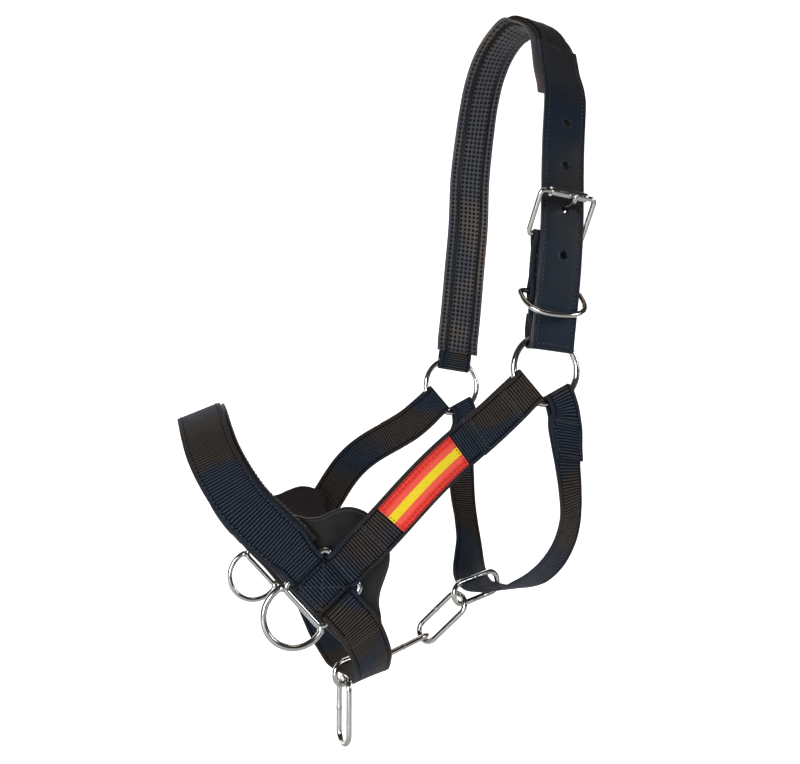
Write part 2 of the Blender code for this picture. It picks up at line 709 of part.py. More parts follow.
def crown_webbing(rail):
    """Loops the far ring, flap outside, and runs over the poll to the near side."""
    n0 = 1.5 + 1.6 + GAP + WEB_T / 2
    fold = [(s, v + n0 + 0.9) for s, v in ring_fold(width=WEB_W, flap=60.0, marks=rail.steps(60, 36))]
    end = rail.length - 171.0
    body = [(s, n0) for s in rail.steps(41, end)]
    return band("crown_webbing", rail, fold + body, strap_section(WEB_W, WEB_T), webbing())


def crown_pad(rail):
    """Perforated lining with a raised padded channel down the middle."""
    start, end = 25.6, rail.length - 173.0
    stations = [start + k for k in (0.0, 2.2, 4.6, 7.0, 9.4, 12.0)] + \
        rail.steps(start + 16, end - 14) + [end - 8.0, end - 3.0, end]
    w, cw = PAD_W / 2, CHANNEL_W / 2
    pts, acr = zip(*[rail.at(s, 2.25 + 0.9 - fold_spread(s)) for s in stations])
    mid = rail.frame(stations[9])
    flip = 1.0 if float(np.dot(np.cross(mid[1], mid[2]), mid[3])) > 0 else -1.0

    def section(i, base):
        s = stations[i]
        up = smooth01((s - start - 3.0) / 5.0) * smooth01((end - 3.0 - s) / 5.0)
        h, t = 0.75 + 1.5 * up, 0.75
        prof = [(w, 0.0), (w - 0.5, t), (-w + 0.5, t), (-w, 0.0), (-w + 0.5, -t),
                (-cw - 0.9, -t), (-cw + 0.9, -h), (cw - 0.9, -h), (cw + 0.9, -t), (w - 0.5, -t)]
        return [(x, y * flip) for x, y in prof]

    return sweep("crown_pad", pts, acr, None, lining(), section)


def crown_overlay(rail):
    n0 = 1.5 + 1.6 + GAP + WEB_T + GAP + OVERLAY_T / 2
    mid = rail.length / 2
    sv = [(s, n0) for s in rail.steps(mid - 92, mid + 70.5)]
    return band("crown_overlay", rail, sv, strap_section(OVERLAY_W, OVERLAY_T, 0.4), leather())


TIP_LINE = [(-16.0, -83.4, -118.0), (-17.4, -84.8, -136.0), (-18.7, -86.6, -152.0),
            (-20.1, -88.4, -168.0), (-21.5, -89.3, -184.0), (-22.8, -89.2, -200.0),
            (-24.4, -88.8, -216.0), (-26.0, -88.0, -232.0), (-27.4, -87.4, -246.5)]


def tip_strap(rail):
    """Sewn to the near end of the poll webbing, down through the buckle and the keeper."""
    n0 = 1.5 + 1.6 + GAP + WEB_T + GAP + TIP_T / 2
    mid = rail.length / 2
    start = mid + 71.3
    s_end = rail.length - 168.0
    head = [rail.at(s, n0) for s in rail.steps(start, s_end)]
    line = [vec(*p) for p in TIP_LINE]
    acr = [vec(1, 0, -0.02)] * 2 + [vec(1, 0, 0.0)] * 4 + [vec(1, 0, 0.05)] * 3
    strap = Rail([p for p, a in head] + line, [a for p, a in head] + acr, side_out(-1))
    s_hole = strap.where(lambda p: p[2] < -160.4)
    holes = [s_hole + k * HOLE_PITCH for k in (-2, -1, 0, 1)]
    stations = [s for s in strap.steps(0, strap.length, longest=16.0)
                if all(abs(s - h) > 7.0 for h in holes)]
    stations = sorted(stations + [h + k for h in holes for k in (-4.5, 4.5)])
    section = strap_section(TIP_W, TIP_T, 0.6)
    verts, faces = [], []
    for s in stations:
        pos, tan, a, n = strap.frame(s)
        verts += [pos + a * x + n * y for x, y in section]
    per, count = len(section), 16
    top_k, low_k = 1, 4              # section edges that are the outer and the inner face
    for i in range(len(stations) - 1):
        here, there = i * per, (i + 1) * per
        hole = [h for h in holes if stations[i] < h < stations[i + 1] and stations[i + 1] - h < 5.0]
        for k in range(per):
            m = (k + 1) % per
            if not (hole and k in (top_k, low_k)):
                faces.append((here + k, here + m, there + m, there + k))
        if not hole:
            continue
        pos, tan, a, n = strap.frame(hole[0])
        pos = pos + a * 1.4
        loops = []
        for k, off in ((top_k, TIP_T / 2), (low_k, -TIP_T / 2)):
            m = (k + 1) % per
            corners = [here + k, here + m, there + m, there + k]
            angle = []
            for c in corners:
                d = verts[c] - pos
                angle.append(math.atan2(np.dot(d, a), np.dot(d, tan)) % (2 * math.pi))
            first = len(verts)
            for t in range(count):
                w = 2 * math.pi * t / count
                verts.append(pos + n * off + (tan * math.cos(w) + a * math.sin(w)) * HOLE_D / 2)
            near = [int(round(x / (2 * math.pi) * count)) % count for x in angle]
            turn = 1 if (near[1] - near[0]) % count < count / 2 else -1
            for q in range(4):
                c0, c1 = corners[q], corners[(q + 1) % 4]
                span = (near[(q + 1) % 4] - near[q]) * turn % count
                for t in range(span):
                    one, two = first + (near[q] + turn * t) % count, first + (near[q] + turn * (t + 1)) % count
                    if t == span // 2:
                        faces.append((c0, one, c1))
                    faces.append((c0 if t < span // 2 else c1, one, two))
            loops.append(first)
        for t in range(count):
            u = (t + 1) % count
            faces.append((loops[0] + t, loops[0] + u, loops[1] + u, loops[1] + t))
    faces.append(tuple(range(per - 1, -1, -1)))
    last = (len(stations) - 1) * per
    faces.append(tuple(last + k for k in range(per)))
    return finish("tip_strap", verts, faces, leather())


def buckle_billet():
    """Webbing folded round the near ring below and the buckle bar above, slotted for the tongue."""
    rail = billet_rail()
    length = rail.length
    kb = rail.where(lambda p: p[2] > KEEPER_BAR[2])
    rk = KEEPER_WIRE + GAP + WEB_T / 2
    rb = BUCKLE_WIRE + GAP + WEB_T / 2

    def spread(s):
        ring = (RING_WIRE + GAP + WEB_T / 2 - 0.9) * (1 - smooth01((s - 24) / 11.0))
        keep = (rk - 0.9) * (1 - smooth01((abs(s - kb) - 2.0) / 7.0))
        bar = (rb - 0.9) * smooth01((s - (length - 10)) / 9.0)
        return 0.9 + max(ring, keep, bar)

    turn = math.sqrt(RING_MEAN ** 2 - (WEB_W / 2) ** 2) - FOLD_EASE
    r = RING_WIRE + GAP + WEB_T / 2
    arc_low = [(turn - r * math.sin(math.radians(d)), -r * math.cos(math.radians(d)))
               for d in range(0, 181, 20)]
    arc_top = [(length + rb * math.sin(math.radians(d)), rb * math.cos(math.radians(d)))
               for d in range(0, 181, 20)]
    ups = list(np.linspace(turn + 3.0, length - 1.5, 30))
    seam = kb - 12.0
    inner_low = [(s, -spread(s)) for s in reversed(ups) if s < seam - 0.6]
    outer = [(s, spread(s)) for s in ups]
    inner_top = [(s, -spread(s)) for s in reversed(ups) if s > seam + 0.6]
    sv = inner_low + arc_low + outer + arc_top + inner_top
    obj = band("buckle_billet", rail, sv, strap_section(WEB_W, WEB_T), webbing())
    c, up, w = buckle_axes()
    x0, x1 = c[0] - 1.6, c[0] + 3.2
    ys, zs = (c[1] - 6.0, c[1] + 6.0), (c[2] - 5.5, c[2] + 6.0)
    rings = [[vec(x, ys[0], zs[0]), vec(x, ys[1], zs[0]), vec(x, ys[1], zs[1]), vec(x, ys[0], zs[1])]
             for x in (x0, x1)]
    verts, faces = loft(rings)
    cut(obj, finish("billet_slot_cutter", verts, faces, steel(), smooth=False))
    return obj


def noseband(rail):
    end = rail.length
    near = [(s, v) for s, v in bar_fold(flap=23.0, low=1.7, low_out=1.7, join=11.0)]
    near = near[:-1] + [(s, -1.7) for s in rail.steps(13.0, 23.0)]
    far = [(end - s, v) for s, v in near]
    body = [(s, 1.7) for s in rail.steps(13.0, end - 13.0)]
    sv = list(reversed(near)) + body + far
    squeeze = fold_widths(end, 5.0, end - 5.0, FOLD_W / NOSE_W)
    return band("noseband_webbing", rail, sv, strap_section(NOSE_W, WEB_T), webbing(), squeeze)


def noseband_lining(rail):
    """Soft lining behind the noseband, a little wider than the webbing at its rear edge."""
    stations = [7.5] + rail.steps(13.0, rail.length - 13.0) + [rail.length - 7.5]
    pts, acr = zip(*[rail.at(s, 0.0) for s in stations])
    pts = [p + unit(a) * NOSE_LINING_SHIFT for p, a in zip(pts, acr)]
    return sweep("noseband_lining", pts, acr, strap_section(NOSE_LINING_W, 1.3, 0.4), lining())


def chin_strap(rail):
    end = rail.length
    near = [(s, v) for s, v in bar_fold(flap=24.0)]
    near = near[:-1] + [(s, -0.9) for s in rail.steps(13.0, 24.0)]
    far = [(end - s, v) for s, v in bar_fold(flap=24.0)][:-1] + \
        [(s, -0.9) for s in rail.steps(end - 13.0, end - 24.0)]
    body = [(s, 0.9) for s in rail.steps(13.0, end - 13.0)]
    sv = list(reversed(near)) + body + far
    squeeze = fold_widths(end, 5.0, end - 5.0, FOLD_W / WEB_W)

    def widths(s):
        pinch = 1 - smooth01((abs(s - end / 2) - 16.0) / 16.0)
        return min(squeeze(s), 1 - pinch * (1 - 21.8 / WEB_W))

    return band("chin_strap", rail, sv, strap_section(WEB_W, WEB_T), webbing(), widths)


def throat_strap(rail):
    """One length folded round both cheek rings with the flaps outside."""
    end = rail.length
    narrow = 18.4
    gap = 1.05                      # half the spacing of the two layers
    first = rail.steps(40, 58)
    last = rail.steps(end - 58, end - 40)
    near = [(s, v) for s, v in ring_fold(width=narrow, flap=58.0, marks=first[::-1][1:], low=gap)]
    far = [(end - s, v) for s, v in
           reversed(ring_fold(width=narrow, flap=58.0, marks=[end - s for s in last][1:], low=gap))]
    middle = rail.steps(58, end - 58)
    body = [(s, -gap) for s in first + middle[1:-1] + last]
    squeeze = fold_widths(end, 22.0, end - 22.0, narrow / WEB_W, run=22.0)
    pinch_at = rail.where(lambda p: p[1] > 4.0)

    def widths(s):
        pinch = 1 - smooth01((abs(s - pinch_at) - 6.0) / 14.0)
        return min(squeeze(s), 1 - pinch * (1 - 23.0 / WEB_W))

    return band("throat_strap", rail, near + body + far, strap_section(WEB_W, WEB_T), webbing(), widths)


PAD_UPPER = [(-12.6, 0.0), (-13.0, 10.0), (-13.2, 20.0), (-12.6, 30.0), (-10.0, 39.0), (-4.5, 45.5),
             (3.5, 47.5), (11.0, 44.5), (16.0, 38.5), (20.0, 32.5), (25.5, 28.5), (32.5, 26.0),
             (39.5, 22.5), (44.5, 16.5), (47.0, 8.5)]
PAD_LOWER = [(46.0, 0.0), (44.2, -8.0), (41.0, -14.5), (36.0, -19.5), (29.0, -23.5), (22.5, -27.0),
             (17.5, -31.5), (13.5, -38.0), (9.0, -44.0), (2.5, -47.0), (-5.0, -45.0), (-10.0, -39.0),
             (-12.6, -30.0), (-13.2, -20.0), (-13.0, -10.0)]


def side_pad(name, side, outer, thick, inset, mat, drop):
    """Three-lobed pad behind the square, curved in towards the cheek at the ends of its lobes."""
    c, e1, e2 = square_axes(side)
    grow = 1.0 if side < 0 else 1.12
    outline = [(x * grow, y * grow) if x > 3 else (x, y * grow) for x, y in PAD_UPPER] + PAD_LOWER
    centre = (12.0, 0.0)
    levels = (1.0, 0.96, 0.6, 0.3)

    def place(x, y, depth):
        bend = 6.5 * (abs(y) / 48.0) ** 2 + 1.5 * (x / 48.0) ** 2 * (1 if x > 0 else 0)
        off = outer - drop - bend - depth
        return vec(c[0], off * side, c[2]) + e1 * x + e2 * y

    verts, faces = [], []
    n = len(outline)
    for face in (0, 1):
        for k, lev in enumerate(levels):
            for x, y in outline:
                px = centre[0] + (x - centre[0]) * lev * inset
                py = centre[1] + (y - centre[1]) * lev * inset
                depth = thick * (0.35 if face == 0 else 0.65) if k == 0 else thick * face
                verts.append(place(px, py, depth))
        verts.append(place(centre[0], centre[1], thick * face))
    per = n * len(levels) + 1
    for face in (0, 1):
        base = face * per
        for k in range(len(levels) - 1):
            for i in range(n):
                j = (i + 1) % n
                a, b = base + k * n, base + (k + 1) * n
                faces.append((a + i, a + j, b + j, b + i))
        last = base + (len(levels) - 1) * n
        tip = base + per - 1
        for i in range(n):
            faces.append((last + i, last + (i + 1) % n, tip))
    for i in range(n):
        j = (i + 1) % n
        faces.append((i, j, per + j, per + i))
    return finish(name, verts, faces, mat)


def square_patch(name, side):
    """Webbing patch sewn on the pad inside the square."""
    c, e1, e2 = square_axes(side)
    y = SQUARE_C[1] - 3.0
    half_s, half_w, t = 11.3, 11.3, 0.6
    pts = [vec(c[0], y * side, c[2]) + e1 * x for x in np.linspace(-half_s, half_s, 5)]
    return sweep(name, pts, [e2] * 5, strap_section(2 * half_w, 2 * t, 0.4), webbing())


# ---- build ----------------------------------------------------------------------------------
def build():
    for name, side in (("near", -1), ("far", 1)):
        cheek_ring(name + "_cheek_ring", side)
        nose_square(name + "_nose_square", side)
        cheek_strap(name + "_cheek_strap", side)
        ribbon(name + "_ribbon", side)
        side_pad(name + "_side_pad", side, 74.9, 2.2, 1.0, pad_leather(), 0.0)
        side_pad(name + "_pad_lining", side, 74.9, 1.0, 0.985, pad_cloth(), 2.2 + GAP)
        square_patch(name + "_square_patch", side)
    crown = crown_rail()
    crown_webbing(crown)
    crown_pad(crown)
    crown_overlay(crown)
    tip_strap(crown)
    buckle_billet()
    buckle_frame()
    buckle_roller()
    buckle_tongue()
    keeper_ring()
    nose = nose_rail()
    noseband(nose)
    noseband_lining(nose)
    chin_strap(chin_rail())
    throat_strap(throat_rail())
    chain_link("chain_link_a", LINK_A)
    chain_link("chain_link_b", LINK_B)
    chain_link("chain_link_c", LINK_C)
    chain_link("chain_link_d", LINK_D)
    chain_link("chain_link_e", LINK_E)


build()
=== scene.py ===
import math

import bmesh
import bpy
import numpy as np
from mathutils import Matrix, Vector


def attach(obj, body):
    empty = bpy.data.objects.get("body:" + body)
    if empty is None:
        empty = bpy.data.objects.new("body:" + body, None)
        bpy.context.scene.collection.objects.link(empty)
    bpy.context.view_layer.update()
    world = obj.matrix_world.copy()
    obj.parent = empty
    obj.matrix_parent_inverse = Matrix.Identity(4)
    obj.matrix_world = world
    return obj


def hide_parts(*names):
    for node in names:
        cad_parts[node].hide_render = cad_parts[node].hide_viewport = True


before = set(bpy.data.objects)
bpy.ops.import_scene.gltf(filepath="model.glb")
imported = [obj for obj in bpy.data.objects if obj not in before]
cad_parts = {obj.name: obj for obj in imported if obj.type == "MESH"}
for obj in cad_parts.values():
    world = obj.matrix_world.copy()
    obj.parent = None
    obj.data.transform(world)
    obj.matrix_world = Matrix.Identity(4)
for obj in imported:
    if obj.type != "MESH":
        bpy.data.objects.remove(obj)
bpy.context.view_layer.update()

# The looks of the headcollar.  Lengths in mm, with the drawing datum DATUM_Z above the origin;
# they turn into metres, in the shared frame, when a mesh is made.  Straps follow the same rails
# as the CAD bands, only finer, and carry two UV layers in mm: "strap" is (across, along) and
# "edge" is (distance in from the nearest edge, 1 on the outer face and 0 on the inner face).
MM, DATUM_Z = 0.001, 7.0
WEB_W, FOLD_W, RING_FOLD_W, WEB_T, GAP, PATCH_W = 24.6, 23.2, 23.0, 1.5, 0.3, 22.6
LAYER = (WEB_T + GAP) / 2       # a webbing's middle above its rail; the next layer is two of these up
NOSE_LAYER = 1.7                # the same over the noseband's soft lining
RING_MEAN, RING_WIRE, FOLD_EASE = 20.7, 2.0, 0.9
SQUARE_HALF, SQUARE_WIRE, SQUARE_CORNER, DEE_RADIUS, DEE_OFFSET = 15.5, 1.75, 3.6, 17.2, 5.4
LINK_LENGTH, LINK_WIDTH, LINK_WIRE = 44.0, 18.0, 1.85
PAD_W, CHANNEL_W, TIP_W, TIP_T, OVERLAY_W, OVERLAY_T = 33.0, 17.0, 28.0, 2.8, 20.0, 1.2
NOSE_W, NOSE_LINING_W, NOSE_LINING_SHIFT, RIBBON_W = 27.4, 29.0, 1.1, 20.5
HOLE_D, HOLE_PITCH = 5.0, 28.2
PAD_TOP = 1.5 + 1.6 + GAP       # from the poll rail to the underside of the webbing over the padding
OVER_WEB = PAD_TOP + WEB_T + GAP
BUCKLE_W, BUCKLE_H, BUCKLE_WIRE = 36.2, 27.0, 1.6
ROLLER_R, ROLLER_LEN, TONGUE_WIRE = 2.9, 24.0, 1.3
KEEPER_W, KEEPER_REACH, KEEPER_WIRE = 39.5, 23.0, 1.6
RING_C, SQUARE_C, CHEEK_DIR = (-28.5, 80.8, -257.0), (-163.0, 79.0, -380.0), (0.738, 0.675)
BUCKLE_BAR, BUCKLE_UP = (-22.9, -83.5, -177.5), (0.10, -0.50, 0.86)
KEEPER_BAR, KEEPER_OUT = (-26.2, -81.9, -210.0), (0.03, -0.70, -0.71)
LINKS = {"a": ((-121.7, 0.0, -443.5), 24.6, 7.7, 2.8), "b": ((-133.05, -4.8, -468.65), 102.0, -90.0, 0.0),
         "c": ((-90.8, 11.7, -436.2), 5.6, 19.8, 71.3), "d": ((-64.0, 5.2, -416.7), -35.3, 44.3, -21.1),
         "e": ((-39.8, 4.2, -398.0), 21.3, 10.7, 0.9)}


# ---- small helpers --------------------------------------------------------------------------
def vec(*xyz):
    return np.array(xyz, float)


def unit(v):
    v = np.asarray(v, float)
    return v / np.maximum(np.linalg.norm(v, axis=-1, keepdims=True), 1e-12)


def smooth01(x):
    x = np.clip(x, 0.0, 1.0)
    return x * x * (3 - 2 * x)


def dots(a, b):
    return np.sum(a * b, axis=-1, keepdims=True)


# ---- procedural materials -------------------------------------------------------------------
class Nodes:
    """Short calls that add nodes to a material and return their output sockets."""

    def __init__(self, name):
        self.mat = bpy.data.materials.new(name)
        self.mat.use_nodes = True
        self.tree = self.mat.node_tree
        self.bsdf = self.tree.nodes["Principled BSDF"]

    def put(self, socket, value):
        if isinstance(value, bpy.types.NodeSocket):
            self.tree.links.new(value, socket)
        elif hasattr(value, "__len__") and len(value) == 3 and socket.type == "RGBA":
            socket.default_value = (*value, 1.0)
        else:
            socket.default_value = value

    def node(self, kind, out=0, **given):
        n = self.tree.nodes.new(kind)
        for key, value in given.items():
            if key.startswith("p_"):
                setattr(n, key[2:], value)
        for key, value in given.items():
            if not key.startswith("p_"):
                self.put(n.inputs[int(key[1:]) if key[0] == "i" and key[1:].isdigit()
                                  else key.replace("_", " ")], value)
        return n.outputs[out]

    def math(self, op, a, b=0.0, c=0.0):
        return self.node("ShaderNodeMath", p_operation=op, i0=a, i1=b, i2=c)

    def times(self, a, b):
        return self.math("MULTIPLY", a, b)

    def plus(self, a, b):
        return self.math("ADD", a, b)

    def minus(self, a, b):
        return self.math("SUBTRACT", a, b)

    def mix(self, t, a, b):
        n = self.tree.nodes.new("ShaderNodeMix")
        n.data_type = "RGBA"
        for k, value in ((0, t), (6, a), (7, b)):
            self.put(n.inputs[k], value)
        return n.outputs[2]

    def ramp(self, value, lo, hi, to0=0.0, to1=1.0):
        return self.node("ShaderNodeMapRange", p_interpolation_type="SMOOTHSTEP", i0=value,
                         i1=lo, i2=hi, i3=to0, i4=to1)

    def uv(self, layer):
        n = self.tree.nodes.new("ShaderNodeUVMap")
        n.uv_map = layer
        s = self.tree.nodes.new("ShaderNodeSeparateXYZ")
        self.tree.links.new(n.outputs[0], s.inputs[0])
        return s.outputs[0], s.outputs[1]

    def place(self):
        return self.node("ShaderNodeTexCoord", out=3)

    def noise(self, scale, detail=2.0, rough=0.5, at=None):
        return self.node("ShaderNodeTexNoise", Vector=self.place() if at is None else at,
                         Scale=scale, Detail=detail, Roughness=rough)

    def bump(self, height, distance, strength=1.0, normal=None):
        given = {"Strength": strength, "Distance": distance, "Height": height}
        if normal is not None:
            given["Normal"] = normal
        return self.node("ShaderNodeBump", **given)

    def finish(self, **values):
        for key, value in values.items():
            self.put(self.bsdf.inputs[key.replace("_", " ")], value)
        return self.mat


def webbing(name, pitch=1.8, dark=(0.0012, 0.0013, 0.0018), light=(0.036, 0.048, 0.072),
            warm=(0.080, 0.056, 0.042)):
    """Ribs across the strap, woven of fine yarns, with a flat selvedge along both edges; the rib valleys and
    the selvedge groove are painted dark (painted shade) and the rib tops painted light (painted highlight).
    """
    m = Nodes(name)
    u, v = m.uv("strap")
    edge, _ = m.uv("edge")
    drift = m.times(m.minus(m.noise(45.0), 0.5), 0.9)
    vv = m.plus(v, drift)
    rib = m.math("ABSOLUTE", m.math("SINE", m.times(vv, math.pi / pitch)))
    rib = m.math("POWER", rib, 0.75)
    yarn = m.math("SINE", m.plus(m.times(u, 2 * math.pi / 0.72),
                                 m.times(vv, math.pi / pitch)))
    inside = m.ramp(edge, 2.4, 3.1)
    knit = m.math("SINE", m.plus(m.times(v, 2 * math.pi / 1.15),
                                 m.times(edge, 3.6)))
    groove = m.times(m.ramp(edge, 2.0, 2.5), m.ramp(edge, 3.4, 2.9))
    height = m.times(rib, inside)
    height = m.plus(height, m.times(yarn, 0.07))
    side = m.times(m.minus(1.0, inside), m.math("MULTIPLY_ADD", knit, 0.16, 0.72))
    height = m.plus(height, side)
    height = m.minus(height, m.times(groove, 0.35))
    fuzz = m.noise(2600.0, 2.0)
    height = m.plus(height, m.times(fuzz, 0.10))
    # Painted light: the rib-top colour drifts at random between a cool and a warm tone, and the height ramp
    # paints the rib valleys and the selvedge groove dark (painted shade) and the rib tops light (painted
    # highlight).
    tone = m.mix(m.ramp(m.noise(13.0), 0.42, 0.54), light, warm)
    shade = m.times(m.ramp(height, 0.42, 1.12), m.math("MULTIPLY_ADD", fuzz, 0.5, 0.75))
    colour = m.mix(shade, dark, tone)
    return m.finish(Base_Color=colour, Roughness=m.ramp(height, 0.1, 1.0, 0.75, 0.5),
                    Normal=m.bump(height, 0.0011), Sheen_Weight=0.01, Sheen_Roughness=0.5,
                    Specular_IOR_Level=0.10)


def leather(name, base=(0.0065, 0.0110, 0.0190), lighter_patch=(0.0140, 0.0125, 0.0115), rough=0.38, grain=0.00006):
    """Dyed strap leather: fine pebble grain, a creased line inside each edge with painted shade in it, rubbed
    edges.
    """
    m = Nodes(name)
    at = m.place()
    edge, _ = m.uv("edge")
    cells = m.node("ShaderNodeTexVoronoi", p_feature="F1", Vector=at, Scale=1500.0)
    grain_h = m.plus(m.times(cells, 0.8), m.times(m.noise(420.0, 4.0), 0.9))
    crease = m.times(m.ramp(edge, 2.3, 2.65), m.ramp(edge, 3.5, 3.15))
    rub = m.ramp(m.plus(edge, m.times(m.noise(300.0, 3.0), 0.8)), 1.0, 0.3)
    # The colour drifts at random in cloud patches from base towards a lighter tone.
    clouds = m.noise(26.0, 3.0)
    colour = m.mix(m.ramp(clouds, 0.4, 0.68), base, lighter_patch)
    colour = m.mix(m.times(rub, 0.6), colour, (0.030, 0.026, 0.024))
    # Painted shade: the creased line is painted near-black as well as pressed in by the bump.
    colour = m.mix(m.times(crease, 0.7), colour, (0.002, 0.002, 0.002))
    normal = m.bump(grain_h, grain)
    normal = m.bump(m.minus(0.0, crease), 0.0004, normal=normal)
    roughness = m.plus(m.times(m.noise(160.0, 4.0, 0.6), 0.16), rough - 0.07)
    return m.finish(Base_Color=colour, Roughness=roughness, Normal=normal, Specular_IOR_Level=0.32)


def perforated(name):
    """Soft lining leather punched with rows of small holes, with a sewn groove by the channel; the holes and
    the groove are painted near-black (painted shade).
    """
    m = Nodes(name)
    u, v = m.uv("strap")
    edge, outer = m.uv("edge")
    pitch = 3.4
    cu = m.minus(m.math("FRACT", m.plus(m.math("DIVIDE", u, pitch), 0.5)), 0.5)
    cv = m.minus(m.math("FRACT", m.math("DIVIDE", v, pitch)), 0.5)
    far = m.math("SQRT", m.plus(m.times(cu, cu), m.times(cv, cv)))
    hole = m.ramp(far, 0.39, 0.30)
    absu = m.math("ABSOLUTE", u)
    seam = m.times(m.ramp(absu, 7.6, 8.2), m.ramp(absu, 11.0, 10.4))
    rim = m.ramp(edge, 2.3, 1.9)
    keep = m.times(m.minus(1.0, seam), m.minus(1.0, rim))
    keep = m.times(keep, m.minus(1.0, outer))
    hole = m.times(hole, keep)
    fine = m.noise(900.0, 3.0)
    tone = m.mix(m.ramp(m.noise(20.0), 0.40, 0.62), (0.078, 0.076, 0.088), (0.150, 0.112, 0.088))
    tone = m.mix(m.times(fine, 0.45), tone, (0.016, 0.015, 0.015))
    # Painted shade: the sewn groove is a near-black painted line, with no dent in the bump.
    tone = m.mix(seam, tone, (0.0025, 0.0025, 0.0026))
    # Painted shade: each hole is painted near-black over its shallow bump dent.
    colour = m.mix(hole, tone, (0.0012, 0.0011, 0.0011))
    normal = m.bump(fine, 0.00005)
    normal = m.bump(m.minus(0.0, hole), 0.00045, normal=normal)
    return m.finish(Base_Color=colour, Roughness=m.math("MULTIPLY_ADD", fine, 0.2, 0.38), Normal=normal,
                    Specular_IOR_Level=0.22)


def pad_skin(name, base, lighter_patch, weave=0.0, rough=0.45, sheen=0.0):
    """Smooth leather, or a fine knitted cloth where weave is above 0; the knit's low places carry painted
    shade and the smooth leather's lighter cloud patches are painted sheen.
    """
    m = Nodes(name)
    at = m.place()
    clouds = m.noise(24.0, 3.0)
    if weave:
        sep = m.tree.nodes.new("ShaderNodeSeparateXYZ")
        m.tree.links.new(at, sep.inputs[0])
        a = m.math("SINE", m.times(m.plus(sep.outputs[0], sep.outputs[2]), 5200.0))
        b = m.math("SINE", m.times(m.minus(sep.outputs[0], sep.outputs[2]), 5200.0))
        height = m.plus(m.times(a, b), m.noise(2200.0, 2.0))
        # Painted shade: the low places of the knit are painted darker.
        shade = m.ramp(height, -0.6, 1.4, 0.35, 0.0)
        dist = 0.00022
    else:
        cells = m.node("ShaderNodeTexVoronoi", p_feature="F1", Vector=at, Scale=1100.0)
        height = m.plus(m.times(cells, 0.7), m.noise(500.0, 4.0))
        # On the leather the darkening follows the grain cells: the grain's own tone.
        shade = m.times(cells, 0.3)
        dist = 0.00006
    # Cloud patches shift the colour from base towards the lighter second colour; on the smooth pad leather
    # these lighter warm patches are painted sheen, on the knit they are a random tone.
    colour = m.mix(m.ramp(clouds, 0.38, 0.66), base, lighter_patch)
    colour = m.mix(shade, colour, (0.003, 0.003, 0.003))
    return m.finish(Base_Color=colour, Roughness=m.math("MULTIPLY_ADD", clouds, 0.2, rough - 0.1),
                    Normal=m.bump(height, dist), Sheen_Weight=sheen, Specular_IOR_Level=0.28)


def striped(name):
    """Woven ribbon: yellow middle, light red beside it, red outside, dark red bound edges; the rib valleys
    carry painted shade.
    """
    m = Nodes(name)
    u, v = m.uv("strap")
    absu = m.math("ABSOLUTE", u)
    wobble = m.times(m.minus(m.noise(900.0, 2.0), 0.5), 0.35)
    at = m.plus(absu, wobble)
    rib = m.math("ABSOLUTE", m.math("SINE", m.times(v, math.pi / 1.0)))
    yarn = m.math("SINE", m.times(u, 2 * math.pi / 0.55))
    colour = m.mix(m.ramp(at, 2.3, 2.7), (1.0, 0.72, 0.010), (1.0, 0.105, 0.060))
    colour = m.mix(m.ramp(at, 5.4, 5.9), colour, (0.96, 0.040, 0.022))
    colour = m.mix(m.ramp(at, 8.9, 9.4), colour, (0.55, 0.020, 0.016))
    height = m.plus(m.times(rib, 0.8), m.times(yarn, 0.12))
    # Painted shade: the rib valleys are painted darker, towards a dark red.
    shade = m.times(m.ramp(height, 0.5, 0.0), 0.55)
    colour = m.mix(shade, colour, (0.12, 0.008, 0.004))
    return m.finish(Base_Color=colour, Roughness=m.ramp(height, 0.0, 1.0, 0.8, 0.55),
                    Normal=m.bump(height, 0.00025), Sheen_Weight=0.12, Specular_IOR_Level=0.3)


def thread(name, colour):
    m = Nodes(name)
    height = m.noise(3800.0, 2.0)
    tone = m.mix(m.times(height, 0.7), colour, tuple(c * 0.35 for c in colour))
    return m.finish(Base_Color=tone, Roughness=m.math("MULTIPLY_ADD", height, 0.2, 0.45),
                    Normal=m.bump(height, 0.00012), Specular_IOR_Level=0.4)


def polished(name, colour=(0.60, 0.575, 0.54), rough=0.14):
    """Polished steel wire: faint draw marks, small dents and a little grime."""
    m = Nodes(name)
    marks = m.noise(1400.0, 3.0, 0.6)
    wide = m.noise(120.0, 2.0)
    grime = m.ramp(m.noise(70.0, 4.0, 0.65), 0.60, 0.78)
    tone = m.mix(m.times(grime, 0.35), colour, (0.36, 0.34, 0.31))
    drawn = m.math("MULTIPLY_ADD", marks, 0.10, rough - 0.05)
    roughness = m.plus(drawn, m.times(grime, 0.10))
    normal = m.bump(marks, 0.00002)
    normal = m.bump(wide, 0.0003, normal=normal)
    return m.finish(Base_Color=tone, Roughness=roughness, Metallic=1.0, Normal=normal)


